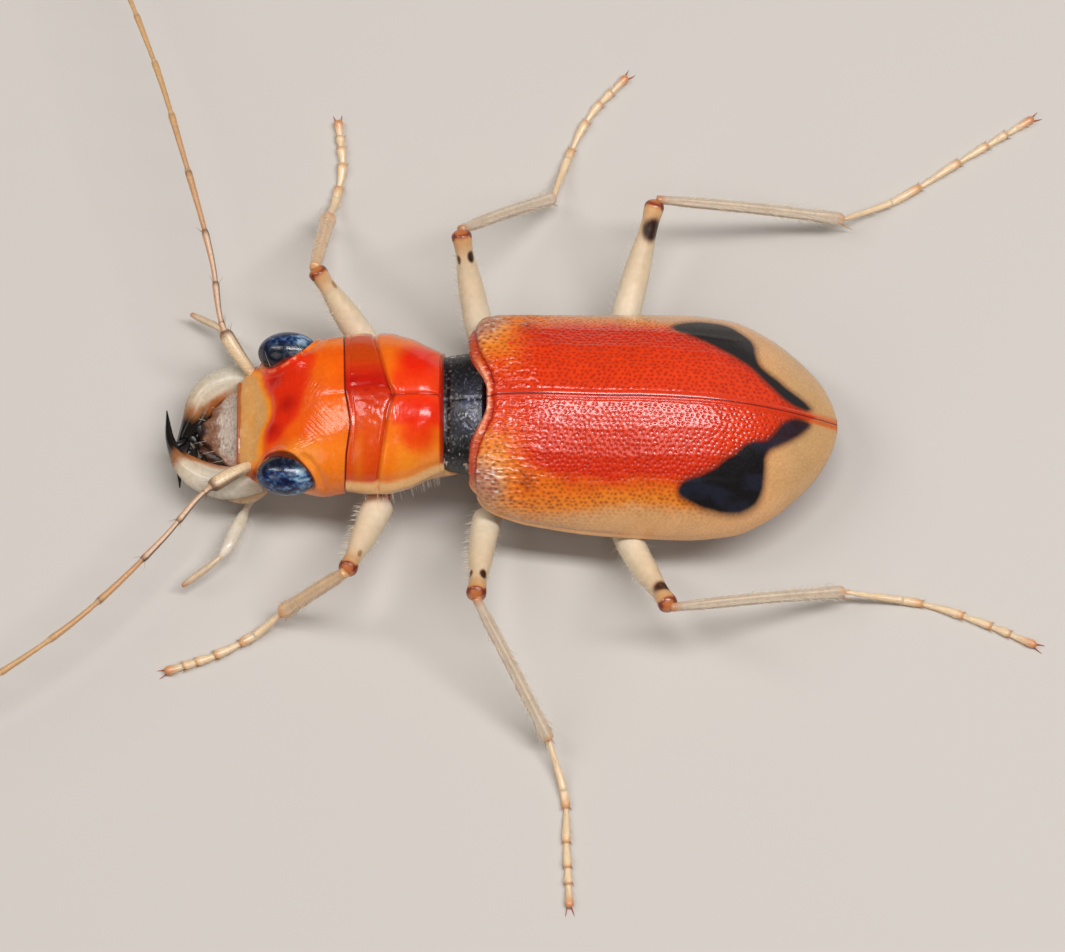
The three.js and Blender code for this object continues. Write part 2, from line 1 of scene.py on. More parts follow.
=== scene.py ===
# Tiger beetle, life size: the finished surfaces over the imported solids.
# Shapes are worked out in millimetres on the beetle's own axes (head towards -X, left side towards -Y,
# floor at Z = 0) and turned into metres in the shared frame when each mesh is built.
import math

import bpy
import numpy as np
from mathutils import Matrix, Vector


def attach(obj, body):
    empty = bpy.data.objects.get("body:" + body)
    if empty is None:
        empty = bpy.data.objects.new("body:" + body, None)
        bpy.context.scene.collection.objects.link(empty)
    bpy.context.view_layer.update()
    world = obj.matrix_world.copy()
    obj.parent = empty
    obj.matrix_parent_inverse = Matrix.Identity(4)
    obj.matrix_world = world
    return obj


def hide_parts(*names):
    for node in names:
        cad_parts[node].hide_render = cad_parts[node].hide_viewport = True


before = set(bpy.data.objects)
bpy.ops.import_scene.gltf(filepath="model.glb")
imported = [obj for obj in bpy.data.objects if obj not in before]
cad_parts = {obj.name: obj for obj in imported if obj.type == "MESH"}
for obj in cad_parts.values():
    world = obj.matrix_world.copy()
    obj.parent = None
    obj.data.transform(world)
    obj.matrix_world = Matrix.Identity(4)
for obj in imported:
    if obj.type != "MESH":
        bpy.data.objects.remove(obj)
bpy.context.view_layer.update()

OFFSET = np.array([2.62, -1.05, 0.0])  # from the beetle's axes to the middle of the overall outline
MM = 0.001
rng = np.random.default_rng(7)


# ------------------------------------------------------------------ numbers
def curve(table):
    """A smooth curve through [x, y] stations that never overshoots them."""
    xs, ys = np.array(table, float).T
    d = np.diff(ys) / np.diff(xs)
    m = np.empty_like(xs)
    m[0], m[-1] = d[0], d[-1]
    for i in range(1, len(d)):
        m[i] = 0.0 if d[i - 1] * d[i] <= 0 else 2 * d[i - 1] * d[i] / (d[i - 1] + d[i])

    def at(x):
        x = np.clip(np.asarray(x, float), xs[0], xs[-1])
        i = np.clip(np.searchsorted(xs, x, side="right") - 1, 0, len(xs) - 2)
        h = xs[i + 1] - xs[i]
        t = (x - xs[i]) / h
        return ys[i] * (1 + 2 * t) * (1 - t) ** 2 + m[i] * h * t * (1 - t) ** 2 + ys[i + 1] * t * t * (3 - 2 * t) - m[i + 1] * h * t * t * (1 - t)

    return at


def smooth(a, b, v):
    t = np.clip((np.asarray(v, float) - a) / (b - a), 0, 1)
    return t * t * (3 - 2 * t)


def bump(v, c, w):
    return np.exp(-(((v - c) / w) ** 2))


def spow(v, p):
    return np.sign(v) * np.abs(v) ** p


def mix(a, b, t):
    return a + (b - a) * t


def lin(r, g, b):
    c = np.array([r, g, b], float) / 255
    return np.where(c <= 0.04045, c / 12.92, ((c + 0.055) / 1.055) ** 2.4)


def hash01(i, j, seed=0):
    """A fixed pseudo-random number in 0..1 for each pair of whole numbers."""
    n = (i.astype(np.int64) * 374761393 + j.astype(np.int64) * 668265263 + seed * 2147483647) & 0xFFFFFFFF
    n = ((n ^ (n >> 13)) * 1274126177) & 0xFFFFFFFF
    n = ((n ^ (n >> 16)) * 2246822519) & 0xFFFFFFFF
    return ((n ^ (n >> 15)) & 0xFFFFFF) / float(0xFFFFFF)


def noise(x, y, seed=0):
    """Smooth value noise, -1..1, one lump about 1 apart."""
    x, y = np.broadcast_arrays(np.asarray(x, float), np.asarray(y, float))
    i, j = np.floor(x), np.floor(y)
    u, v = x - i, y - j
    u, v = u * u * (3 - 2 * u), v * v * (3 - 2 * v)
    a, b = hash01(i, j, seed), hash01(i + 1, j, seed)
    c, d = hash01(i, j + 1, seed), hash01(i + 1, j + 1, seed)
    return 2 * (mix(mix(a, b, u), mix(c, d, u), v)) - 1


def fbm(x, y, seed=0, octaves=3):
    out, amp = 0.0, 1.0
    for k in range(octaves):
        out = out + amp * noise(x * 2**k + 17 * k, y * 2**k - 9 * k, seed + k)
        amp *= 0.5
    return out / (2 - 0.5 ** (octaves - 1))


def cells(x, y, size, seed=0, jitter=0.3):
    """Distance to the nearest point of a jittered staggered lattice, and that point's own random number."""
    gy = size * 0.866
    j0 = np.floor(y / gy)
    best = np.full(np.shape(x), 9.0)
    mark = np.zeros(np.shape(x))
    for dj in (-1, 0, 1, 2):
        j = j0 + dj
        shift = 0.5 * (np.mod(j, 2))
        i0 = np.floor(x / size - shift)
        for di in (-1, 0, 1, 2):
            i = i0 + di
            px = (i + shift + jitter * (hash01(i, j, seed) - 0.5)) * size
            py = (j + jitter * (hash01(i, j, seed + 5) - 0.5)) * gy
            d = np.hypot(x - px, y - py)
            near = d < best
            best = np.where(near, d, best)
            mark = np.where(near, hash01(i, j, seed + 9), mark)
    return best, mark


def tint(shape, color, rough):
    t = np.empty(tuple(shape) + (4,))
    t[..., :3] = color
    t[..., 3] = rough
    return t


def paint(t, color, amount, rough=None):
    a = np.clip(np.broadcast_to(amount, t.shape[:-1]), 0, 1)[..., None]
    t[..., :3] = t[..., :3] * (1 - a) + np.asarray(color) * a
    if rough is not None:
        t[..., 3] = t[..., 3] * (1 - a[..., 0]) + rough * a[..., 0]
    return t


# ------------------------------------------------------------------ colours, as seen in soft white light
RED = lin(214, 46, 16)
RED_DEEP = lin(150, 24, 8)
ORANGE = lin(226, 100, 18)
AMBER = lin(228, 138, 46)
CREAM = lin(234, 172, 114)
CREAM_TIP = lin(196, 155, 106)
SPOT = lin(22, 22, 28)
IVORY = lin(214, 193, 160)
IVORY_PALE = lin(236, 226, 204)
GLASSY = lin(197, 180, 159)
TAN = lin(214, 160, 92)
BROWN = lin(120, 62, 26)
DARK = lin(46, 22, 14)
RUST = lin(150, 52, 18)
BLACK = lin(18, 18, 22)


# ------------------------------------------------------------------ meshes from grids of points
class Shell:
    """Collects grids of points, and makes them one mesh with a tint for each point and a flat map of the whole surface."""

    def __init__(self, name):
        self.name = name
        self.points, self.tints, self.quads, self.tris = [], [], [], []
        self.cells = []  # one per grid: size on the surface, and where its corners' map positions go
        self.count = 0

    def add(self, pts, tints, closed=False, cap0=False, cap1=False, out=None):
        """pts is n rows by m columns. closed joins the last column to the first. A cap closes an end row with a fan.
        out is a point that the surface faces away from; without it, each row's middle is."""
        n, m = pts.shape[:2]
        base = self.count
        self.points.append(pts.reshape(-1, 3))
        self.tints.append(tints.reshape(-1, 4))
        self.count += n * m
        cols = m if closed else m - 1
        i, j = np.meshgrid(np.arange(n - 1), np.arange(cols), indexing="ij")
        jn = (j + 1) % m
        quad = np.stack([i * m + j, (i + 1) * m + j, (i + 1) * m + jn, i * m + jn], -1).reshape(-1, 4)
        # which way the faces look
        p = pts.reshape(-1, 3)
        d1, d2 = p[quad[:, 2]] - p[quad[:, 0]], p[quad[:, 3]] - p[quad[:, 1]]
        normal = np.cross(d1, d2)
        centre = p[quad].mean(1)
        middle = np.repeat(pts.mean(1)[:-1], cols, axis=0) if out is None else np.asarray(out)
        flip = np.sum((centre - middle) * normal) < 0
        # a flat map: rows along u, columns along v, in a cell as large as the surface
        length = np.linalg.norm(np.diff(pts, axis=0), axis=2).mean(1)
        ring = np.concatenate([pts, pts[:, :1]], 1) if closed else pts
        width = np.linalg.norm(np.diff(ring, axis=1), axis=2).sum(1).max()
        u = np.concatenate([[0], np.cumsum(length)])
        u = u / max(u[-1], 1e-9)
        v = np.arange(cols + 1) / cols
        uv = np.stack([np.stack([u[i], v[j]], -1), np.stack([u[i + 1], v[j]], -1), np.stack([u[i + 1], v[j + 1]], -1), np.stack([u[i], v[j + 1]], -1)], 2).reshape(-1, 4, 2)
        if flip:
            quad, uv = quad[:, ::-1], uv[:, ::-1]
        cell = len(self.cells)
        self.cells.append((length.sum(), width))
        self.quads.append((quad + base, uv, cell))
        for end, row in ((cap0, 0), (cap1, n - 1)):
            if not end:
                continue
            pole = self.count
            self.points.append(pts[row].mean(0)[None])
            self.tints.append(tints[row].mean(0)[None])
            self.count += 1
            a = base + row * m + np.arange(cols)
            b = base + row * m + (np.arange(cols) + 1) % m
            tri = np.stack([np.full(cols, pole), a, b], 1)
            ru = 0.0 if row == 0 else 1.0
            tuv = np.stack([np.stack([np.full(cols, ru), (v[:-1] + v[1:]) / 2], -1), np.stack([np.full(cols, ru), v[:-1]], -1), np.stack([np.full(cols, ru), v[1:]], -1)], 1)
            q = np.concatenate([pts[row].mean(0)[None], p], 0)
            nn = np.cross(p[a - base] - q[0], p[b - base] - q[0]).sum(0)
            outward = (pts[row].mean(0) - pts[1 if row == 0 else n - 2].mean(0))
            if np.dot(nn, outward) < 0:
                tri, tuv = tri[:, ::-1], tuv[:, ::-1]
            self.tris.append((tri, tuv, cell))
        return self

    def build(self, nodes, slot, material):
        pts = (np.concatenate(self.points) + OFFSET) * MM
        tints = np.concatenate(self.tints)
        where = pack_cells(self.cells)
        faces, uvs, sizes = [], [], []
        for group, k in ((self.quads, 4), (self.tris, 3)):
            for idx, uv, cell in group:
                x0, y0, w, h = where[cell]
                faces.append(idx.reshape(-1))
                uvs.append((np.array([x0, y0]) + uv * np.array([w, h])).reshape(-1, 2))
                sizes.append(np.full(len(idx), k))
        faces, uvs, sizes = np.concatenate(faces), np.concatenate(uvs), np.concatenate(sizes)
        return make_mesh(self.name, pts, faces, sizes, uvs, tints, nodes, material)


def pack_cells(sizes):
    """Places rectangles of these sizes in rows inside the unit square, all at one scale, with a margin."""
    sizes = [(max(w, 1e-3), max(h, 1e-3)) for w, h in sizes]
    order = sorted(range(len(sizes)), key=lambda k: -sizes[k][1])
    margin = 0.004 if len(sizes) > 1 else 0.002

    def lay(scale):
        x = y = row = 0.0
        out = {}
        for k in order:
            w, h = sizes[k][0] * scale + margin, sizes[k][1] * scale + margin
            if w > 1:
                return None
            if x + w > 1:
                x, y, row = 0.0, y + row, 0.0
            if y + h > 1:
                return None
            out[k] = (x + margin / 2, y + margin / 2, w - margin, h - margin)
            x += w
            row = max(row, h)
        return out

    low, high = 0.0, 4 / max(max(s) for s in sizes)
    for _ in range(30):
        mid = (low + high) / 2
        if lay(mid):
            low = mid
        else:
            high = mid
    return lay(low)


pieces = []


def make_mesh(name, pts, faces, sizes, uvs, tints, nodes, material):
    me = bpy.data.meshes.new(name)
    me.vertices.add(len(pts))
    me.vertices.foreach_set("co", pts.astype(np.float32).ravel())
    me.loops.add(len(faces))
    me.loops.foreach_set("vertex_index", faces.astype(np.int32))
    me.polygons.add(len(sizes))
    me.polygons.foreach_set("loop_start", np.concatenate([[0], np.cumsum(sizes)[:-1]]).astype(np.int32))
    me.update(calc_edges=True)
    me.polygons.foreach_set("use_smooth", np.ones(len(sizes), bool))
    layer = me.uv_layers.new(name="OFBake")
    layer.data.foreach_set("uv", uvs.astype(np.float32).ravel())
    color = me.color_attributes.new(name="Tint", type="FLOAT_COLOR", domain="POINT")
    color.data.foreach_set("color", tints.astype(np.float32).ravel())
    me.update()
    ob = bpy.data.objects.new(name, me)
    bpy.context.scene.collection.objects.link(ob)
    me.materials.append(material)
    if nodes:
        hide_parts(*nodes)
    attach(ob, "root")
    pieces.append((name, int((sizes - 2).sum())))
    return ob


# ------------------------------------------------------------------ materials
def finish_material(name, grain=9000, grain_amount=0.06, rough_amount=0.05, relief=2.0e-6, relief_scale=30000, coat=0.35, coat_rough=0.12, ior=1.5, soft=0.0, soft_radius=(1.0, 0.5, 0.25), soft_scale=0.0003, blotch=1500, blotch_amount=0.05):
    """Colour and roughness from the surface's own tint, broken up by two scales of noise, with a fine relief."""
    mat = bpy.data.materials.new(name)
    mat.use_nodes = True
    nt = mat.node_tree
    nt.nodes.clear()
    out = nt.nodes.new("ShaderNodeOutputMaterial")
    bsdf = nt.nodes.new("ShaderNodeBsdfPrincipled")
    nt.links.new(bsdf.outputs[0], out.inputs[0])
    tex = nt.nodes.new("ShaderNodeTexCoord")
    att = nt.nodes.new("ShaderNodeAttribute")
    att.attribute_name = "Tint"

    def noise_node(scale, detail=3):
        n = nt.nodes.new("ShaderNodeTexNoise")
        n.inputs["Scale"].default_value = scale
        n.inputs["Detail"].default_value = detail
        nt.links.new(tex.outputs["Object"], n.inputs["Vector"])
        return n

    fine, broad = noise_node(grain), noise_node(blotch, 2)

    def around_one(node, amount):
        m = nt.nodes.new("ShaderNodeMapRange")
        m.inputs["From Min"].default_value = 0.3
        m.inputs["From Max"].default_value = 0.7
        m.inputs["To Min"].default_value = 1 - amount
        m.inputs["To Max"].default_value = 1 + amount
        nt.links.new(node.outputs["Fac"], m.inputs["Value"])
        return m

    a, b = around_one(fine, grain_amount), around_one(broad, blotch_amount)
    mul = nt.nodes.new("ShaderNodeMath")
    mul.operation = "MULTIPLY"
    nt.links.new(a.outputs[0], mul.inputs[0])
    nt.links.new(b.outputs[0], mul.inputs[1])
    col = nt.nodes.new("ShaderNodeVectorMath")
    col.operation = "SCALE"
    nt.links.new(att.outputs["Color"], col.inputs[0])
    nt.links.new(mul.outputs[0], col.inputs["Scale"])
    nt.links.new(col.outputs[0], bsdf.inputs["Base Color"])
    r = around_one(fine, rough_amount / 0.3)
    rm = nt.nodes.new("ShaderNodeMath")
    rm.operation = "MULTIPLY"
    rm.use_clamp = True
    nt.links.new(att.outputs["Alpha"], rm.inputs[0])
    nt.links.new(r.outputs[0], rm.inputs[1])
    nt.links.new(rm.outputs[0], bsdf.inputs["Roughness"])
    tiny = noise_node(relief_scale, 2)
    bp = nt.nodes.new("ShaderNodeBump")
    bp.inputs["Strength"].default_value = 1.0
    bp.inputs["Distance"].default_value = relief
    nt.links.new(tiny.outputs["Fac"], bp.inputs["Height"])
    nt.links.new(bp.outputs[0], bsdf.inputs["Normal"])
    bsdf.inputs["IOR"].default_value = ior
    bsdf.inputs["Coat Weight"].default_value = coat
    bsdf.inputs["Coat Roughness"].default_value = coat_rough
    if soft:
        bsdf.inputs["Subsurface Weight"].default_value = soft
        bsdf.inputs["Subsurface Radius"].default_value = soft_radius
        bsdf.inputs["Subsurface Scale"].default_value = soft_scale
    return mat


MAT = {
    "wing": finish_material("wing_case_gloss", grain=14000, grain_amount=0.08, relief=2.2e-6, relief_scale=26000, coat=0.5, coat_rough=0.17, ior=1.42),
    "cuticle": finish_material("orange_cuticle", grain=9000, grain_amount=0.06, relief=1.6e-6, relief_scale=26000, coat=0.25, coat_rough=0.12, ior=1.4),
    "collar": finish_material("black_collar", grain=12000, grain_amount=0.3, relief=7e-6, relief_scale=20000, coat=0.2, coat_rough=0.25),
    "under": finish_material("underside_cuticle", grain=7000, grain_amount=0.12, relief=3e-6, relief_scale=16000, coat=0.25, coat_rough=0.2),
    "limb": finish_material("ivory_limb", grain=7000, grain_amount=0.05, relief=2e-6, relief_scale=20000, coat=0.3, coat_rough=0.2, soft=0.25),
    "eye": finish_material("eye_facets", grain=12000, grain_amount=0.16, relief=4e-6, relief_scale=20000, coat=0.15, coat_rough=0.09),
    "lip": finish_material("speckled_lip", grain=16000, grain_amount=0.2, relief=3e-6, relief_scale=22000, coat=0.2, coat_rough=0.25),
    "jaw": finish_material("jaw_enamel", grain=7000, grain_amount=0.07, relief=2.0e-6, relief_scale=16000, coat=0.12, coat_rough=0.12),
    "feeler": finish_material("feeler_down", grain=16000, grain_amount=0.14, relief=4e-6, relief_scale=40000, coat=0.1, coat_rough=0.3),
    "hair": finish_material("fine_bristles", grain=9000, grain_amount=0.1, relief=1e-6, relief_scale=30000, coat=0.2, coat_rough=0.2),
}


# ------------------------------------------------------------------ tubes and bristles
def catmull(points, n):
    """A smooth centripetal curve through the points, sampled evenly by length."""
    p = np.array(points, float)
    p = np.vstack([2 * p[0] - p[1], p, 2 * p[-1] - p[-2]])
    out = []
    for k in range(1, len(p) - 2):
        q0, q1, q2, q3 = p[k - 1], p[k], p[k + 1], p[k + 2]
        t0 = 0.0
        t1 = t0 + np.linalg.norm(q1 - q0) ** 0.5
        t2 = t1 + np.linalg.norm(q2 - q1) ** 0.5
        t3 = t2 + np.linalg.norm(q3 - q2) ** 0.5
        t = np.linspace(t1, t2, 40, endpoint=(k == len(p) - 3))[:, None]
        a1 = (t1 - t) / (t1 - t0) * q0 + (t - t0) / (t1 - t0) * q1
        a2 = (t2 - t) / (t2 - t1) * q1 + (t - t1) / (t2 - t1) * q2
        a3 = (t3 - t) / (t3 - t2) * q2 + (t - t2) / (t3 - t2) * q3
        b1 = (t2 - t) / (t2 - t0) * a1 + (t - t0) / (t2 - t0) * a2
        b2 = (t3 - t) / (t3 - t1) * a2 + (t - t1) / (t3 - t1) * a3
        out.append((t2 - t) / (t2 - t1) * b1 + (t - t1) / (t2 - t1) * b2)
    c = np.vstack(out)
    s = np.concatenate([[0], np.cumsum(np.linalg.norm(np.diff(c, axis=0), axis=1))])
    at = np.linspace(0, s[-1], n)
    return np.stack([np.interp(at, s, c[:, k]) for k in range(3)], 1)


def frames(path):
    t = np.gradient(path, axis=0)
    t /= np.linalg.norm(t, axis=1)[:, None]
    up = np.array([0, 0, 1.0]) - t * t[:, 2:3]
    up /= np.linalg.norm(up, axis=1)[:, None]
    return t, up, np.cross(t, up)


def tube(path, wide, tall=None, around=24, lift=None):
    """Points of a tube: wide across, tall upwards, each a number for every station; and the angle of each column, 0 on top."""
    wide = np.asarray(wide, float)
    tall = wide if tall is None else np.asarray(tall, float)
    t, up, side = frames(path)
    a = np.linspace(0, 2 * np.pi, around, endpoint=False)
    pts = path[:, None] + up[:, None] * (tall[:, None] * np.cos(a))[..., None] + side[:, None] * (wide[:, None] * np.sin(a))[..., None]
    if lift is not None:
        pts = pts + up[:, None] * lift[..., None]
    return pts, a


def round_ends(n, start=0.02, end=0.02):
    """A factor for each of n stations that rounds off both ends of a tube."""
    s = np.linspace(0, 1, n)
    f = np.ones(n)
    if start:
        k = s < start
        f[k] = np.sqrt(np.clip(1 - (1 - s[k] / start) ** 2, 0.02, 1))
    if end:
        k = s > 1 - end
        f[k] = np.sqrt(np.clip(1 - (1 - (1 - s[k]) / end) ** 2, 0.02, 1))
    return f


class Bristles:
    """Thin curved cones joined into one mesh. Each has its place on the map at its root's place on the surface that it grows from."""

    def __init__(self, name):
        self.name = name
        self.rows = []

    def add(self, root, way, length, radius, color, uv, bend=None, rough=0.35):
        k = len(root)
        if not k:
            return self
        way = way / np.linalg.norm(way, axis=1)[:, None]
        bend = np.zeros_like(way) if bend is None else bend
        self.rows.append((np.asarray(root), way, np.broadcast_to(length, k), np.broadcast_to(radius, k), np.broadcast_to(color, (k, 3)), np.asarray(uv), np.broadcast_to(bend, way.shape), np.full(k, rough)))
        return self

    def build(self, slot, material):
        root, way, length, radius, color, uv, bend, rough = (np.concatenate([r[c] for r in self.rows]) for c in range(8))
        k = len(root)
        helper = np.where(np.abs(way[:, 2:3]) < 0.9, np.array([[0, 0, 1.0]]), np.array([[1.0, 0, 0]]))
        e1 = np.cross(way, helper)
        e1 /= np.linalg.norm(e1, axis=1)[:, None]
        e2 = np.cross(way, e1)
        rings, levels = [], [0.0, 0.34, 0.7]
        for s in levels:
            c = root + way * (length * s)[:, None] + bend * (length * s * s)[:, None]
            r = radius * (1 - 0.75 * s)
            for b in range(3):
                a = 2 * np.pi * b / 3
                rings.append(c + e1 * (r * math.cos(a))[:, None] + e2 * (r * math.sin(a))[:, None])
        rings.append(root + way * length[:, None] + bend * length[:, None])
        pts = np.stack(rings, 1)  # k, 10, 3
        quad, tri = [], []
        for lv in range(2):
            for b in range(3):
                c = (b + 1) % 3
                quad.append([lv * 3 + b, lv * 3 + c, lv * 3 + 3 + c, lv * 3 + 3 + b])
        for b in range(3):
            tri.append([6 + b, 6 + (b + 1) % 3, 9])
        quad, tri = np.array(quad), np.array(tri)
        offs = np.array([[0.001 * (b - 1), 0.001 * lv] for lv in range(3) for b in range(3)] + [[0.0, 0.003]])
        local = np.clip(uv[:, None] + offs[None], 0.001, 0.999)
        base = (np.arange(k) * 10)[:, None, None]
        q = (quad[None] + base).reshape(-1, 4)
        t = (tri[None] + base).reshape(-1, 3)
        flat = local.reshape(-1, 2)
        tints = np.concatenate([np.repeat(color[:, None], 10, 1), np.repeat(rough[:, None, None], 10, 1)], -1)
        pts[..., 2] = np.maximum(pts[..., 2], 0.002 + 0.01 * (np.arange(10) % 3)[None])
        faces = np.concatenate([q.ravel(), t.ravel()])
        sizes = np.concatenate([np.full(len(q), 4), np.full(len(t), 3)])
        return make_mesh(self.name, (pts.reshape(-1, 3) + OFFSET) * MM, faces, sizes, flat[faces], tints.reshape(-1, 4), (), material)


# ------------------------------------------------------------------ outlines of the body
ELYTRA_FRONT, ELYTRA_END, SHOULDER_REACH, SHELL, GAP = -1.22, 8.19, 0.46, 0.5, 0.03
elytra_width = curve([[-1.22, 2.1], [-1.05, 2.42], [-0.85, 2.66], [-0.5, 2.84], [0.1, 2.98], [1.8, 3.14], [4.0, 3.2], [5.3, 3.07], [6.3, 2.62], [7.1, 1.98], [7.7, 1.3], [8.05, 0.62], [8.19, 0.12]])
elytra_top = curve([[-1.22, 4.02], [-0.9, 4.2], [0.7, 4.38], [2.6, 4.38], [4.4, 4.16], [5.6, 3.74], [6.7, 3.14], [7.5, 2.58], [8.19, 2.02]])
elytra_rim = curve([[-1.22, 2.9], [-1.0, 2.72], [-0.6, 2.42], [0, 2.14], [2.4, 1.94], [4.5, 1.8], [6.2, 1.76], [7.4, 1.82], [8.19, 1.92]])
belly_bottom = curve([[-1.25, 1.1], [0, 0.92], [2.2, 0.9], [4.2, 0.98], [5.8, 1.12], [7.2, 1.44], [8.0, 1.76]])


class Body:
    def __init__(self, a, top, bottom, mid, up, down):
        self.a, self.top, self.bottom, self.mid, self.up, self.down = curve(a), curve(top), curve(bottom), curve(mid), up, down

    def at(self, x, th, swell=0.0):
        """Points of the body at x (a column) and angle th (a row): 0 and pi are the sides, pi/2 the top."""
        c, s = np.cos(th), np.sin(th)
        e = np.where(s >= 0, 2 / self.up(x), 2 / self.down)
        m = self.mid(x)
        y = (self.a(x) + swell) * spow(c, e)
        z = m + np.where(s >= 0, self.top(x) + swell - m, m - self.bottom(x) + swell) * spow(s, e)
        return np.stack(np.broadcast_arrays(x, y, z), -1)


PRO = Body(
    [[-4.84, 2.18], [-4.4, 2.23], [-3.9, 2.22], [-3.5, 2.13], [-3.2, 2.03], [-2.9, 1.87], [-2.6, 1.74], [-2.36, 1.66]],
    [[-4.84, 4.02], [-4.4, 4.12], [-3.4, 4.2], [-2.8, 4.22], [-2.5, 4.14], [-2.36, 3.98]],
    [[-4.84, 1.5], [-4.2, 1.34], [-3.2, 1.3], [-2.36, 1.42]],
    [[-4.84, 2.66], [-3.6, 2.6], [-2.36, 2.64]],
    lambda x: 2.0 + 0 * x,
    2.0,
)
COLLAR = Body([[-2.33, 1.58], [-1.9, 1.64], [-1.25, 1.76]], [[-2.33, 3.72], [-1.8, 3.86], [-1.25, 3.9]], [[-2.33, 1.4], [-1.25, 1.2]], [[-2.33, 2.66], [-1.25, 2.6]], lambda x: 2.2 + 0 * x, 2.1)
HEAD = Body(
    [[-7.82, 1.22], [-7.6, 1.5], [-7.2, 1.72], [-6.6, 1.84], [-6.0, 2.0], [-5.5, 2.13], [-4.88, 2.16]],
    [[-7.82, 2.06], [-7.5, 2.38], [-7.0, 2.86], [-6.5, 3.26], [-6.0, 3.58], [-5.5, 3.82], [-4.88, 3.98]],
    [[-7.82, 1.56], [-7.4, 1.34], [-6.8, 1.24], [-6.0, 1.26], [-4.88, 1.5]],
    [[-7.82, 1.74], [-7.0, 1.92], [-6.2, 2.1], [-5.4, 2.3], [-4.88, 2.46]],
    curve([[-7.82, 2.35], [-7.3, 2.6], [-6.6, 3.3], [-5.9, 3.0], [-5.2, 2.5], [-4.88, 2.3]]),
    2.0,
)


def ring_angles(n, power=1.0):
    """Angles round a body, even along its outline rather than in angle."""
    th = np.linspace(0, 2 * np.pi, 721)
    c, s = spow(np.cos(th), power), spow(np.sin(th), power)
    d = np.concatenate([[0], np.cumsum(np.hypot(np.diff(c), np.diff(s)))])
    return np.interp(np.linspace(0, d[-1], n, endpoint=False), d, th)


def normals_of(pts, closed):
    du = np.gradient(pts, axis=0)
    if closed:
        dv = (np.roll(pts, -1, 1) - np.roll(pts, 1, 1)) / 2
    else:
        dv = np.gradient(pts, axis=1)
    n = np.cross(du, dv)
    n /= np.maximum(np.linalg.norm(n, axis=2, keepdims=True), 1e-12)
    return n


def outward(pts, closed, middle=None):
    n = normals_of(pts, closed)
    c = pts.mean(1, keepdims=True) if middle is None else middle
    if np.sum((pts - c) * n) < 0:
        n = -n
    return n


# ------------------------------------------------------------------ wing cases
def lean(x):
    """The body behind the shoulders stands a little towards the left."""
    return -0.1 * smooth(-1.5, 2.5, x)


def elytron_surface(x, phi, side, inset=0.0):
    w0, rim = elytra_width(x), elytra_rim(x)
    h0 = elytra_top(x) - rim
    front = smooth(ELYTRA_FRONT + 0.42, ELYTRA_FRONT, x)
    w = w0 - inset * np.minimum(SHELL, 0.42 * w0) - 0.16 * front * front
    h = h0 * (1 - 0.09 * front * front) - inset * np.minimum(SHELL, 0.42 * h0)
    e = 2 / mix(2.0, 1.62, smooth(-0.9, 1.6, x))
    s, c = np.sin(phi) ** e, np.cos(phi) ** e
    reach = SHOULDER_REACH * smooth(0.1, 0.72, s) * np.exp(-(((x - ELYTRA_FRONT) / 0.95) ** 2))
    y = np.maximum(w * s, 0.006)
    return np.stack(np.broadcast_arrays(x - reach, side * y + lean(x), rim + h * c), -1), s


# the two dark marks, as closed outlines in (x, share of the half width from the suture)
MARK = {
    -1: [(3.88, 0.722), (3.98, 0.663), (4.23, 0.629), (4.55, 0.598), (4.87, 0.549), (5.15, 0.484), (5.44, 0.432), (5.64, 0.37), (5.87, 0.346), (6.23, 0.331), (6.48, 0.25), (6.7, 0.158), (6.96, 0.09), (7.29, 0.07), (7.38, 0.13), (7.17, 0.25), (6.88, 0.327), (6.59, 0.375), (6.3, 0.418), (6.18, 0.479), (6.16, 0.571), (6.14, 0.675), (6.08, 0.779), (5.95, 0.846), (5.74, 0.872), (5.45, 0.877), (5.09, 0.866), (4.74, 0.845), (4.38, 0.812), (4.09, 0.775), (3.93, 0.75)],
    1: [(3.77, 0.755), (4.06, 0.807), (4.49, 0.84), (4.93, 0.849), (5.28, 0.836), (5.57, 0.793), (5.81, 0.739), (5.94, 0.675), (5.96, 0.576), (6.04, 0.47), (6.25, 0.413), (6.54, 0.365), (6.83, 0.303), (7.11, 0.255), (7.33, 0.204), (7.42, 0.141), (7.25, 0.1), (6.96, 0.119), (6.67, 0.172), (6.42, 0.241), (6.18, 0.312), (5.89, 0.398), (5.61, 0.441), (5.25, 0.498), (4.9, 0.553), (4.55, 0.603), (4.19, 0.654), (3.87, 0.7)],
}


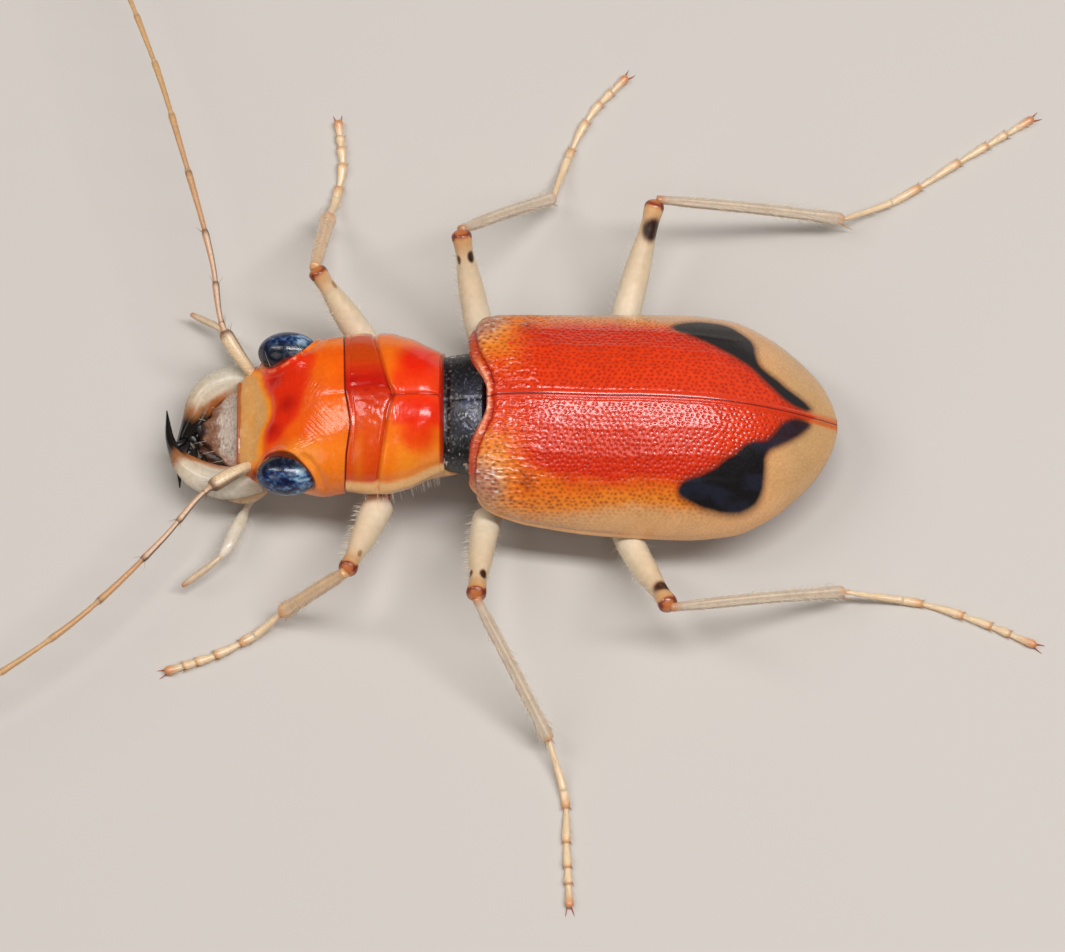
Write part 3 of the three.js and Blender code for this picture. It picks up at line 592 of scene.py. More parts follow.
def outline_distance(x, y, outline):
    """Signed distance from a closed outline with rounded corners, negative inside."""
    poly = np.array(outline, float)
    m = len(poly)
    ks = np.linspace(0, m, 8 * m, endpoint=False)
    i = ks.astype(int)
    f = (ks - i)[:, None]
    p0, p1, p2, p3 = poly[(i - 1) % m], poly[i % m], poly[(i + 1) % m], poly[(i + 2) % m]
    poly = 0.5 * (2 * p1 + (p2 - p0) * f + (2 * p0 - 5 * p1 + 4 * p2 - p3) * f**2 + (3 * p1 - p0 - 3 * p2 + p3) * f**3)
    px, py = poly.T
    X, Y = x.ravel(), y.ravel()
    best = np.full(X.shape, 99.0)
    inside = np.zeros(X.shape, bool)
    n = len(px)
    for k in range(n):
        x0, y0, x1, y1 = px[k], py[k], px[(k + 1) % n], py[(k + 1) % n]
        dx, dy = x1 - x0, y1 - y0
        t = np.clip(((X - x0) * dx + (Y - y0) * dy) / max(dx * dx + dy * dy, 1e-12), 0, 1)
        best = np.minimum(best, np.hypot(X - x0 - t * dx, Y - y0 - t * dy))
        cross = ((y0 > Y) != (y1 > Y)) & (X < (x1 - x0) * (Y - y0) / (y1 - y0 + 1e-15) + x0)
        inside ^= cross
    return np.where(inside, -best, best).reshape(x.shape)


def mark_distance(x, q, outline, width):
    """Signed distance in mm from the edge of a wing case's mark."""
    return outline_distance(x, q * width, [(a, b * float(elytra_width(a))) for a, b in outline])


def make_elytron(side, name):
    rows, cols, under = 520, 172, 12
    # stations even along the outline
    xs = np.linspace(ELYTRA_FRONT, 8.17, 4000)
    ws = elytra_width(xs)
    run = np.concatenate([[0], np.cumsum(np.hypot(np.diff(xs), 0.8 * np.diff(ws)))])
    xg = np.interp(np.linspace(0, run[-1], rows), run, xs)[:, None]
    # columns even along the section
    fine = np.linspace(0, np.pi / 2, 200)[None]
    probe, _ = elytron_surface(np.array([[3.0]]), fine, side)
    d = np.concatenate([[0], np.cumsum(np.linalg.norm(np.diff(probe[0], axis=0), axis=1))])
    phi = np.interp(np.linspace(0, d[-1], cols), d, fine[0])[None]
    pts, q = elytron_surface(xg, phi, side)
    x = np.broadcast_to(xg, q.shape)
    w = np.broadcast_to(elytra_width(xg), q.shape)
    step = np.linalg.norm(np.diff(pts, axis=1), axis=2)
    t = np.concatenate([np.zeros((rows, 1)), np.cumsum(step, axis=1)], 1)  # mm from the suture
    total = t[:, -1:]
    edge = total - t  # mm from the rim
    front = np.concatenate([[0], np.cumsum(np.linalg.norm(np.diff(pts, axis=0), axis=2).mean(1))])[:, None]  # mm from the front edge
    middle = np.stack([np.broadcast_to(xg, (rows, 1)), np.zeros((rows, 1)), np.broadcast_to(elytra_rim(xg) - 0.6, (rows, 1))], -1)
    n = outward(pts, False, middle)

    # markings
    mark = mark_distance(x, q, MARK[side], w)
    wob = 0.05 * fbm(x * 3, t * 3, 31 + side)
    spot = smooth(0.1, -0.05, mark + 0.4 * wob)
    rim_line = curve([[-1.3, 0.985], [-0.3, 0.97], [0.24, 0.95], [0.91, 0.915], [1.62, 0.865], [2.32, 0.83], [3.03, 0.82], [3.74, 0.83], [4.4, 0.83], [5.2, 0.78], [5.8, 0.7], [6.15, 0.5], [6.4, 0.35], [6.8, 0.24], [7.2, 0.15], [7.45, 0.06], [8.2, -0.2]])
    if side > 0:
        rim_line = curve([[-1.3, 0.985], [-0.3, 0.97], [0.7, 0.94], [1.6, 0.9], [2.4, 0.87], [3.06, 0.845], [3.63, 0.8], [4.4, 0.78], [5.2, 0.74], [5.7, 0.66], [6.0, 0.5], [6.4, 0.34], [6.9, 0.24], [7.3, 0.15], [7.5, 0.06], [8.2, -0.2]])
    red_line = curve([[-1.3, 0.3], [-0.67, 0.47], [-0.34, 0.6], [0.24, 0.68], [0.91, 0.71], [1.61, 0.71], [2.32, 0.7], [3.03, 0.69], [3.73, 0.7], [4.4, 0.72], [5.0, 0.7], [6.0, 0.55], [7.0, 0.2], [8.2, 0.0]])
    if side > 0:
        red_line = curve([[-1.3, 0.36], [-0.62, 0.56], [-0.33, 0.68], [0.24, 0.76], [0.92, 0.78], [1.63, 0.79], [2.34, 0.78], [3.05, 0.77], [3.62, 0.75], [4.4, 0.72], [5.0, 0.66], [6.0, 0.5], [7.0, 0.2], [8.2, 0.0]])
    cream = smooth(-0.045, 0.05, q - rim_line(x) + 0.35 * wob)
    warm = smooth(-0.09, 0.09, q - red_line(x) + 0.8 * wob)
    tip = smooth(6.2, 7.2, x)

    c = tint(q.shape, lin(222, 54, 2), 0.24)
    paint(c, lin(196, 30, 4), 0.7 * bump(q, red_line(x) - 0.12, 0.16) * smooth(-0.4, 0.4, x))
    paint(c, lin(214, 54, 20), 0.6 * smooth(0.4, 0.0, q))
    # a duller, bluer red painted on the near case's inner half where the highlight falls: a painted tint of the
    # highlight
    if side < 0:
        paint(c, lin(196, 46, 24), 0.55 * smooth(0.62, 0.4, q) * smooth(5.6, 4.4, x) * smooth(-0.4, 0.6, x))
    paint(c, ORANGE, warm)
    paint(c, lin(240, 128, 34), 0.55 * warm * (1 - cream))
    paint(c, AMBER, warm * smooth(-0.16, -0.02, q - rim_line(x)) * 0.8)
    paint(c, mix(CREAM, CREAM_TIP, 0.5), cream)
    paint(c, CREAM_TIP, cream * tip)

    # shoulders: a glassy brown-grey knob in a yellow field
    sx, sq = -0.86, 0.83
    knob = np.exp(-(((x - sx) / 0.4) ** 2) - ((q - sq) / 0.18) ** 2)
    skirt = np.exp(-(((x - sx) / 0.5) ** 2) - ((q - sq) / 0.24) ** 2)
    field = np.exp(-(((x + 0.66) / 0.42) ** 2) - ((q - 0.6) / 0.26) ** 2)
    paint(c, lin(234, 136, 40), 0.9 * field * smooth(-0.35, 0.1, fbm(x * 5, t * 5, 3) + 0.4))
    paint(c, lin(222, 158, 96), 0.85 * smooth(0.2, 0.7, skirt + 0.15 * fbm(x * 5, t * 5, 7)))
    paint(c, lin(180, 130, 108), 0.85 * smooth(0.3, 0.9, knob + 0.22 * fbm(x * 6, t * 6, 8)), 0.16)
    paint(c, lin(120, 66, 60), 0.55 * smooth(0.5, 0.9, knob) * smooth(0.1, 0.5, fbm(x * 7, t * 7, 9)))
    paint(c, lin(236, 216, 204), 0.9 * smooth(0.35, 0.8, knob) * smooth(0.5, 0.62, noise(x * 13, t * 13, 10)), 0.12)
    paint(c, RED_DEEP, 0.6 * bump(x, -0.05, 0.16) * bump(q, 0.74, 0.07))

    # pits in a staggered net: deep and regular on the disc, faint in the pale rim and the tip
    calm = 1 - 0.88 * spot  # the dark marks are smoother
    fade = (1 - 0.97 * cream) * smooth(0.06, 0.2, t) * smooth(0.04, 0.2, edge) * calm
    base = smooth(0.9, -0.3, x)  # coarser and wrinkled towards the front
    size = 0.142
    warp = 0.05 * fbm(x * 2.2, t * 2.2, 12)
    dist, own = cells(x + warp, t + 0.6 * warp, size, 3 + side, 0.55)
    pit = np.exp(-((dist / (0.029 + 0.009 * own)) ** 2))
    pit_strength = fade * (0.75 + 0.5 * own) * (1 - 0.45 * base) * (1 - 0.55 * smooth(0.6, 0.25, np.abs(x - 7.2)) * (1 - cream))
    height = -0.016 * pit * pit_strength
    net = smooth(0.05, 0.08, dist) * fade
    height += 0.002 * net
    wrinkle = np.abs(fbm(x * 3.2, t * 6.5, 21, 3))
    height += base * fade * (0.03 * (0.25 - np.minimum(wrinkle, 0.25)) / 0.25 - 0.006)
    # faint long ridges, and waves between them
    for r0 in (0.8, 1.55, 2.3):
        height += 0.012 * bump(t, r0 + 0.1 * np.sin(x * 0.8), 0.11) * smooth(-0.6, 0.6, x) * smooth(6.0, 4.8, x)
    height += 0.010 * fbm(x * 1.2, t * 1.6, 41) * fade
    # raised suture edge, base rim and its groove, side gutter and bead
    height += 0.014 * bump(t, 0.05, 0.04) - 0.012 * bump(t, 0.13, 0.03)
    height += 0.045 * bump(front, 0.13, 0.1) - 0.045 * bump(front, 0.34, 0.06) * smooth(0.0, 0.1, q)
    height += (-0.03 * bump(edge, 0.17, 0.07) + 0.02 * bump(edge, 0.05, 0.06)) * (0.12 + 0.6 * smooth(4.0, 1.0, x))
    height += 0.07 * knob
    height = height * smooth(0, 0.05, front) * smooth(0.0, 0.5, total)
    pts = pts + n * height[..., None]

    # the pits are painted darker, and the net between them is painted lighter
    dots = np.exp(-((dist / (0.034 + 0.014 * own)) ** 2)) * smooth(0.03, 0.15, t) * smooth(0.1, 0.3, edge)
    paint(c, lin(146, 20, 4), 0.8 * pit * fade * (1 - warm))
    paint(c, lin(138, 44, 6), 0.95 * dots * warm * (1 - cream) * (0.6 + 0.4 * own))
    paint(c, lin(176, 100, 44), 0.75 * dots * cream * smooth(0.12, 0.0, q - rim_line(x)))
    paint(c, lin(234, 76, 26), 0.2 * net * (1 - warm) * (1 - spot))
    faint, _ = cells(x, t, 0.115, 77, 0.5)
    paint(c, lin(196, 140, 84), 0.35 * np.exp(-((faint / 0.03) ** 2)) * cream)
    paint(c, lin(12, 10, 14), spot, 0.3 if side < 0 else 0.6)
    if side < 0:
        paint(c, lin(52, 26, 30), 0.7 * spot * smooth(6.1, 6.5, x))
    # a painted bluish sheen in patches over the near mark
    if side < 0:
        paint(c, lin(40, 44, 66), 0.35 * spot * smooth(0.2, 0.7, fbm(x * 1.5, t * 2, 19) + 0.4))
    paint(c, lin(104, 44, 20), 0.55 * smooth(0.2, 0.02, np.abs(mark)) * (1 - spot) * 0.9)

    # lines: groove behind the base rim, suture, bead
    paint(c, lin(160, 18, 6), 0.92 * bump(front, 0.35, 0.08) * smooth(0.02, 0.2, q) * smooth(1.0, 0.86, q))
    paint(c, lin(226, 128, 78), 0.9 * smooth(0.3, 0.2, front))
    # pale pink on the middle of the base rim: a painted highlight
    paint(c, lin(232, 160, 132), 0.75 * smooth(0.26, 0.16, front) * smooth(0.6, 0.3, q))
    paint(c, lin(200, 60, 20), 0.6 * smooth(0.12, 0.04, front))
    paint(c, lin(164, 36, 16), 0.75 * smooth(0.36, 0.24, front) * smooth(0.34, 0.6, q) * smooth(1.0, 0.9, q))
    paint(c, lin(120, 24, 26), 0.75 * smooth(0.035, 0.0, t))
    paint(c, lin(186, 52, 22), 0.7 * bump(t, 0.05, 0.04) * smooth(5.8, 6.8, x))
    paint(c, lin(206, 90, 20), 0.75 * bump(t, 0.1, 0.06) * smooth(7.0, 7.6, x))
    paint(c, lin(120, 54, 30), 0.75 * smooth(0.06, 0.0, edge) * (0.35 + 0.65 * smooth(2.5, 0.5, x) + 0.5 * smooth(5.8, 7.0, x)))
    paint(c, lin(196, 132, 86), 0.35 * bump(edge, 0.17, 0.06) * smooth(4.0, 2.0, x))

    # the rim turns under and runs inwards below the edge
    k = np.linspace(0, 1, under + 1)[1:]
    last, inner = pts[:, -1], elytron_surface(xg, np.array([[np.pi / 2]]), side, 1.0)[0][:, 0]
    fold = []
    for s in k:
        p = mix(last, inner, s)
        p = p + np.array([0, 0, -1.0]) * (0.05 * math.sin(math.pi * min(1, 1.2 * s)))
        p[:, 2] += 0.1 * s
        fold.append(p)
    fold = np.stack(fold, 1)
    ct = tint(fold.shape[:2], lin(206, 150, 96), 0.4)
    # darker the further the rim runs under the edge: painted shade
    paint(ct, lin(150, 70, 30), 0.6 * k[None] * np.ones((rows, 1)))
    paint(ct, lin(120, 54, 30), 0.7 * smooth(2.5, 0.5, xg) * (1 - k[None]))
    pts, c = np.concatenate([pts, fold], 1), np.concatenate([c, ct], 1)

    shell = Shell("wing_case_" + name)
    shell.add(pts, c, out=np.array([3.0, 0, 1.5]))
    # the front face, closed down to the inner surface, and the inner side along the suture
    lip = []
    for s in np.linspace(0, 1, 6):
        inner_front, _ = elytron_surface(np.array([[ELYTRA_FRONT]]), phi, side, 1.0)
        p = mix(pts[0:1, :cols], inner_front, s)
        p[..., 0] += 0.10 * s
        lip.append(p[0])
    lip = np.stack(lip, 0)
    shell.add(lip, tint(lip.shape[:2], lin(206, 96, 48), 0.35), out=np.array([3.0, side * 1.2, 3.0]))
    wall = []
    for s in np.linspace(0, 1, 5):
        p = pts[:, 0].copy()
        p[:, 2] -= s * np.minimum(0.3, 0.5 * (elytra_top(xg[:, 0]) - elytra_rim(xg[:, 0])))
        wall.append(p)
    wall = np.stack(wall, 1)
    shell.add(wall, tint(wall.shape[:2], lin(120, 30, 14), 0.4), out=np.array([3.0, side * 2.0, 3.0]))
    return shell.build(["elytron_" + name], "wing_case", MAT["wing"])


make_elytron(-1, "left")
make_elytron(1, "right")


# ------------------------------------------------------------------ pronotum
# hind border of the front band: a blunt V that points back on the midline
front_furrow = curve([[-0.95, -4.12], [-0.78, -4.05], [-0.59, -3.97], [-0.41, -3.91], [-0.29, -3.88], [-0.16, -3.82], [0.0, -3.7], [0.07, -3.76], [0.19, -3.86], [0.4, -3.98], [0.56, -4.06], [0.74, -4.15], [0.95, -4.22]])


# the seam between head and thorax winds a little
hind_seam = curve([[-1.0, -0.1], [-0.7, -0.06], [-0.35, 0.03], [-0.1, -0.03], [0.1, -0.1], [0.6, -0.13], [1.0, -0.17]])


def make_prothorax():
    rows, cols = 230, 380
    x = np.linspace(-4.875, -2.36, rows)[:, None]
    th = ring_angles(cols)[None]
    pts = PRO.at(x, th)
    pts[..., 0] = x
    c, s = np.cos(th) + 0 * x, np.sin(th) + 0 * x
    q = c  # share of the half width: section is an ellipse
    n = outward(pts, True)
    X = x + 0 * th
    y = pts[..., 1].copy()
    upper = smooth(-0.02, 0.12, s)
    d_front = X - front_furrow(q)
    h = -0.085 * bump(d_front, 0, 0.06) * upper
    h += 0.02 * smooth(0.05, 0.3, d_front) * smooth(-2.5, -3.0, X) * upper
    h -= 0.03 * bump(X, -2.44, 0.035) * upper
    # two low domes behind the furrow, and the groove between them
    h += 0.085 * bump(X, -2.92, 0.4) * bump(np.abs(q), 0.36, 0.28) * upper
    groove = smooth(-3.82, -3.7, X) * smooth(-2.37, -2.5, X) * upper
    h -= 0.05 * bump(y, 0, 0.03) * groove
    h -= 0.018 * bump(y, 0.02, 0.14) * groove
    # fine wrinkles along the front band on the far side of the midline, and across behind the furrow
    wr = fbm(X * 1.3 + 0.4 * noise(X * 4, q * 5, 5), y * 15, 51, 2)
    wrinkles = smooth(-4.8, -4.68, X) * smooth(-0.02, -0.2, d_front) * bump(y, 0.5, 0.55)
    wr2 = fbm(X * 13, y * 2.2, 52, 2)
    behind = bump(d_front, 0.22, 0.16) * bump(y, -0.45, 0.45)
    h += 0.022 * wr * wrinkles * upper + 0.018 * wr2 * behind * upper
    # small dents round the middle of the band
    h += 0.018 * fbm(X * 7, y * 7, 54, 2) * bump(X, -4.2, 0.3) * bump(y, -0.3, 0.45) * upper
    h += 0.006 * fbm(X * 3, q * 6, 53) * upper
    h += 0.0025 * fbm(X * 9, y * 9, 55, 2) * upper
    # side edge: a rounded keel with a gutter above it
    keel = bump(th, 0.1, 0.1) + bump(th, np.pi - 0.1, 0.1)
    gutter = bump(th, 0.34, 0.1) + bump(th, np.pi - 0.34, 0.1)
    h += 0.03 * keel - 0.02 * gutter
    # front rim
    h += 0.015 * bump(X, -4.82, 0.04) * upper - 0.015 * bump(X, -4.74, 0.035) * upper
    end = smooth(-4.875, -4.85, X) * smooth(-2.36, -2.42, X)
    pts = pts + n * (h - 0.018 * (1 - end))[..., None]
    pts[..., 0] += hind_seam(q) * smooth(-4.1, -4.85, X)
    # the hind corners reach back over the collar's sides
    corner = np.maximum(bump(np.mod(th + 0.5, 2 * np.pi), 0.06, 0.26) + bump(np.mod(th + 0.5, 2 * np.pi), 2 * np.pi, 0.26), bump(th, np.pi + 0.46, 0.26))
    pts[..., 0] += 0.44 * corner * smooth(-2.85, -2.36, X)

    k = tint(X.shape, lin(232, 98, 10), 0.2)
    wob = fbm(X * 4, y * 4, 60)
    # sides: amber, deeper on the far side
    paint(k, lin(244, 140, 34), 0.9 * smooth(-0.9, -1.5, y + 0.1 * wob))
    paint(k, lin(232, 116, 22), 0.9 * smooth(1.3, 1.7, y + 0.1 * wob))
    paint(k, lin(236, 112, 16), 0.8 * bump(d_front, 0.25, 0.22) * smooth(0.5, 0.9, np.abs(y)))
    # the middle is red, from the furrow to the hind edge
    paint(k, lin(230, 52, 12), 0.9 * smooth(0.9, 0.5, y) * smooth(-0.95, -0.7, y) * smooth(-3.9, -3.55, X))
    # a red blot on each dome
    for xc, yc, rx, ry, strength in ((-3.0, 1.0, 0.72, 0.62, 1.0), (-2.95, -0.5, 0.7, 0.46, 0.7), (-3.05, -1.1, 0.5, 0.42, 0.75)):
        g = np.exp(-(((X - xc) / rx) ** 2) - ((y - yc) / ry) ** 2) + 0.05 * wob
        paint(k, lin(226, 32, 2), strength * smooth(0.12, 0.85, g))
    # front band
    band = smooth(0.03, -0.04, d_front) * upper
    paint(k, lin(208, 56, 8), band)
    paint(k, lin(196, 64, 4), band * smooth(0.75, 1.15, y))
    paint(k, lin(184, 14, 4), band * 0.95 * bump(y, 0.42, 0.42))
    paint(k, lin(140, 8, 12), band * 0.55 * bump(y, 0.12, 0.2) * smooth(-0.1, 0.4, fbm(X * 5, y * 9, 61)))
    paint(k, lin(214, 74, 10), band * 0.95 * smooth(-0.25, -0.7, y))
    paint(k, lin(206, 62, 6), band * 0.6 * bump(d_front, -0.12, 0.08) * smooth(-0.4, -0.8, y))
    paint(k, lin(226, 112, 24), band * 0.55 * bump(X, -4.58, 0.12) * smooth(-0.8, -1.3, y))
    paint(k, lin(138, 14, 6), 0.85 * bump(d_front, 0.0, 0.032) * upper * (0.45 + 0.55 * smooth(1.2, 0.4, np.abs(y))))
    paint(k, lin(120, 10, 8), 0.9 * bump(y, 0, 0.02) * groove)
    paint(k, lin(150, 16, 8), 0.9 * smooth(-2.47, -2.42, X) * upper)
    paint(k, lin(96, 14, 8), 0.95 * smooth(-4.845, -4.865, X) * upper)
    # cream strip along the lower edge and on the hind corners
    strip = smooth(0.36, 0.24, s) * smooth(-0.35, -0.15, s)
    paint(k, lin(232, 184, 124), 0.92 * strip * np.where(q < 0, 1.0, 0.25))
    paint(k, lin(224, 150, 80), 0.6 * strip * (q > 0))
    paint(k, lin(222, 180, 128), 0.95 * smooth(0.25, 0.6, corner) * smooth(-2.95, -2.6, X))
    # underneath: brown-orange
    paint(k, lin(170, 84, 30), smooth(-0.42, -0.62, s), 0.35)
    paint(k, lin(110, 50, 18), 0.5 * smooth(-0.5, -0.95, s))
    sh = Shell("pronotum")
    sh.add(pts, k, closed=True, cap0=True, cap1=True)
    return sh.build(["prothorax"], "cuticle_orange", MAT["cuticle"])


make_prothorax()


# ------------------------------------------------------------------ collar
def make_collar():
    rows, cols = 150, 300
    x = np.linspace(-2.72, -0.92, rows)[:, None]
    th = ring_angles(cols)[None]
    pts = COLLAR.at(np.clip(x, -2.33, -1.25), th)
    pts[..., 0] = x
    # it runs on under the pronotum and under the wing cases
    mid = COLLAR.mid(np.clip(x, -2.33, -1.25))
    shrink = 1 - 0.05 * smooth(-2.34, -2.5, x) - 0.24 * smooth(-1.36, -1.12, x)
    pts[..., 1] *= shrink
    pts[..., 2] = mid + (pts[..., 2] - mid) * shrink
    X = x + 0 * th
    y = pts[..., 1].copy()
    s, cc = np.sin(th) + 0 * x, np.cos(th) + 0 * x
    n = outward(pts, True)
    upper = smooth(0.0, 0.2, s)
    h = -0.03 * bump(y, 0, 0.02) * upper
    h += 0.03 * bump(X, -1.85, 0.28) * bump(y, -0.05, 0.8) * upper - 0.02 * bump(X, -2.28, 0.06) * upper
    h += 0.007 * fbm(X * 13, y * 13, 61, 2) * upper
    # fine lines that spread from the middle
    fan = np.sin(np.arctan2(y + 0.05, X + 2.25) * 42 + noise(X * 6, y * 6, 64))
    h += 0.004 * fan * bump(X, -1.75, 0.3) * bump(y, -0.2, 0.7) * upper
    pts = pts + n * (h - 0.02)[..., None]
    k = tint(X.shape, lin(7, 7, 9), 0.4)
    # a painted bluish sheen on the lit middle of the top, and pale grains that are painted brighter there as painted
    # glints
    painted_sheen_spot = bump(X, -1.72, 0.32) * bump(y, -0.35, 0.62)
    paint(k, lin(56, 58, 92), 0.75 * painted_sheen_spot * upper * smooth(-0.3, 0.4, fbm(X * 5, y * 5, 62)), 0.3)
    grains_and_glints = smooth(0.5, 0.72, noise(X * 26, y * 26, 63)) * (0.12 + painted_sheen_spot) * upper
    paint(k, lin(176, 176, 190), 0.8 * grains_and_glints, 0.45)
    edge = smooth(0.6, 0.78, noise(X * 17, y * 17, 65)) * (0.35 * bump(X, -2.2, 0.12) + 0.8 * smooth(0.74, 0.88, np.abs(cc))) * upper
    paint(k, lin(196, 188, 174), 0.9 * edge, 0.5)
    paint(k, lin(110, 110, 122), 0.5 * bump(y, 0.02, 0.014) * upper)
    paint(k, lin(90, 44, 24), smooth(-0.15, -0.45, s), 0.4)
    sh = Shell("collar")
    sh.add(pts, k, closed=True, cap0=True, cap1=True)
    return sh.build(["mesothorax"], "collar_black", MAT["collar"])


make_collar()


# ------------------------------------------------------------------ head
EYE_AT, EYE_R = np.array([-6.54, 1.74, 2.66]), np.array([0.83, 0.57, 0.62])


# the red field over the brow, as a closed outline in (x, y)
RED_FIELD = [(-7.2, 1.19), (-6.95, 1.32), (-6.59, 1.36), (-6.16, 1.42), (-5.81, 1.3), (-5.94, 0.81), (-6.05, 0.31), (-6.22, -0.28), (-6.57, -0.6), (-6.76, -0.86), (-7.06, -0.94), (-7.16, -0.7), (-7.1, -0.45), (-6.97, -0.17), (-6.87, 0.05), (-6.92, 0.34), (-7.13, 0.72)]
band_back = curve([[-1.4, -7.3], [-1.17, -7.27], [-0.88, -7.26], [-0.5, -7.17], [-0.16, -7.02], [0.27, -7.05], [0.76, -7.21], [1.33, -7.36]])


def make_head():
    rows, cols = 276, 360
    x = np.linspace(-7.92, -4.56, rows)[:, None]
    th = ring_angles(cols, 2 / 2.35)[None]
    pts = HEAD.at(np.minimum(x, -4.88), th)
    pts[..., 0] = x
    # behind, a narrower neck runs into the thorax
    mid = HEAD.mid(np.minimum(x, -4.88))
    shrink = 1 - 0.02 * smooth(-4.9, -4.86, x) - 0.09 * smooth(-4.86, -4.56, x)
    pts[..., 1] *= shrink
    pts[..., 2] = mid + (pts[..., 2] - mid) * shrink
    X = x + 0 * th
    s, cc = np.sin(th) + 0 * x, np.cos(th) + 0 * x
    y = pts[..., 1].copy()
    q = y / HEAD.a(np.minimum(x, -4.88))
    z = pts[..., 2].copy()
    n = outward(pts, True)
    upper = smooth(0.02, 0.2, s)
    # distance from each eye, as a share of its size
    de = np.minimum(*[np.sqrt((((X - EYE_AT[0]) / EYE_R[0]) ** 2) + (((y - sd * EYE_AT[1]) / EYE_R[1]) ** 2) + (((z - EYE_AT[2]) / EYE_R[2]) ** 2)) for sd in (-1, 1)])
    # a brow ridge stands over the inner half of each eye
    ay = np.abs(y)
    ridge = np.where(ay > 1.36, bump(ay, 1.36, 0.16), bump(ay, 1.36, 0.3)) * bump(X, -6.62, 0.64) * smooth(0.1, 0.4, s)
    pts[..., 2] += 0.17 * ridge + 0.1 * smooth(-7.35, -7.86, X) * smooth(0.0, 0.4, s)
    h = 0.03 * bump(de, 1.14, 0.08) * upper
    h -= 0.03 * bump(de, 1.36, 0.1) * upper * (1 - ridge)
    # the brow's middle sinks a little behind the pale band
    h -= 0.02 * bump(X, band_back(y) + 0.05, 0.1) * upper * bump(y, 0, 1.0)
    for sd in (-1, 1):
        h -= 0.03 * np.exp(-(((X + 6.9) / 0.28) ** 2) - ((y - sd * 0.9) / 0.24) ** 2) * upper
    # fine folds behind each brow, spreading backwards, and arcs beside them
    fan = np.sin((ay + 0.32 * (X + 6.3)) * 58 + 1.2 * noise(X * 3, y * 3, 71))
    h += 0.008 * fan * np.where(y < 0, 1, 0.4) * bump(ay, 1.12, 0.26) * bump(X, -6.15, 0.32) * upper
    arc = np.sin((0.75 * X - 0.66 * ay) * 62 + 1.4 * noise(X * 4, y * 4, 75))
    h += 0.006 * arc * np.where(y < 0, 1, 0.45) * bump(X, -5.78, 0.34) * bump(ay, 0.55, 0.34) * upper
    h += 0.006 * fbm(X * 5, y * 5, 72) * upper + 0.0025 * fbm(X * 14, y * 14, 74, 2) * upper
    h -= 0.02 * bump(y, 0.1, 0.05) * smooth(-5.8, -5.2, X) * upper
    # sockets of the feelers, in front of the eyes
    for sd in (-1, 1):
        sock = np.exp(-(((X + 7.55) / 0.2) ** 2) - ((y - sd * 1.42) / 0.2) ** 2 - ((z - 2.15) / 0.25) ** 2)
        h += 0.04 * sock
    # the near cheek is a little fuller
    h += 0.08 * smooth(0.35, 0.0, s) * smooth(-0.6, -0.2, s) * bump(X, -5.9, 0.8) * (y < 0)
    front = smooth(-7.92, -7.88, X)
    pts = pts + n * (h - 0.03 * (1 - front))[..., None]
    pts[..., 0] += hind_seam(q) * smooth(-5.7, -4.92, X)

    wob = fbm(X * 3, y * 3, 73)
    k = tint(X.shape, lin(234, 90, 6), 0.19)
    # amber towards the near cheek, tan on the far edge
    paint(k, lin(238, 138, 38), 0.9 * smooth(-0.85, -1.35, y + 0.12 * wob) * smooth(-6.9, -6.3, X))
    paint(k, lin(236, 112, 18), 0.7 * smooth(0.4, -0.5, y) * smooth(-6.0, -5.4, X))
    paint(k, lin(234, 122, 30), 0.85 * smooth(1.35, 1.75, y) * smooth(-6.4, -5.8, X))
    paint(k, lin(240, 104, 8), 0.8 * bump(X, -5.45, 0.4) * bump(y, 0.8, 0.4))
    # pale band, with a yellow-orange border behind it
    db = X - band_back(y)
    inside = smooth(1.42, 1.15, ay)
    paint(k, lin(238, 142, 32), 0.95 * smooth(0.12, -0.02, db) * smooth(1.5, 1.3, ay))
    paint(k, lin(208, 154, 90), 0.95 * smooth(0.0, -0.16, db + 0.03 * wob) * inside)
    paint(k, lin(222, 116, 40), 0.8 * smooth(1.2, 1.42, ay) * smooth(-6.95, -7.2, X))
    paint(k, lin(224, 178, 116), 0.45 * smooth(0.05, 0.5, fbm(X * 6, y * 6, 77)) * smooth(-0.1, -0.3, db) * inside)
    paint(k, lin(214, 142, 66), 0.5 * smooth(0.1, 0.5, fbm(X * 4 + 3, y * 4, 78)) * smooth(0.0, -0.2, db) * inside)
    # red field with three deeper spots
    d = outline_distance(X, y, RED_FIELD) + 0.06 * wob
    field = smooth(0.15, -0.15, d) * upper
    paint(k, lin(222, 38, 2), 0.96 * field)
    paint(k, lin(228, 60, 4), 0.6 * field * smooth(-6.3, -5.9, X) * smooth(0.3, 0.9, y))
    for xc, yc, wx, wy in ((-6.9, 0.87, 0.2, 0.22), (-6.53, 0.07, 0.24, 0.24), (-6.93, -0.56, 0.19, 0.2), (-7.06, -1.2, 0.12, 0.14)):
        paint(k, lin(176, 12, 2), 0.85 * np.exp(-(((X - xc) / wx) ** 2) - ((y - yc) / wy) ** 2) * upper)
    # a thin brown line along the front edge
    paint(k, lin(156, 78, 34), 0.9 * smooth(-7.79, -7.84, X + 0.03 * fbm(y * 5, X * 2, 79)) * smooth(-0.1, 0.1, s))
    # dark inner rim of the eye sockets; the pale specks along the bead outside it are painted highlights
    paint(k, lin(84, 16, 8), 0.9 * smooth(1.13, 1.03, de) * upper)
    paint(k, lin(236, 150, 96), 0.55 * bump(de, 1.2, 0.035) * smooth(0.0, 0.4, noise(X * 9, y * 9, 76)) * upper, 0.12)
    paint(k, lin(130, 30, 10), 0.9 * bump(X, -7.42, 0.12) * bump(ay, 1.55, 0.14) * upper)
    # hind edge: a narrow dark red line where the thorax begins
    paint(k, lin(132, 26, 10), 0.95 * smooth(-4.92, -4.895, X))
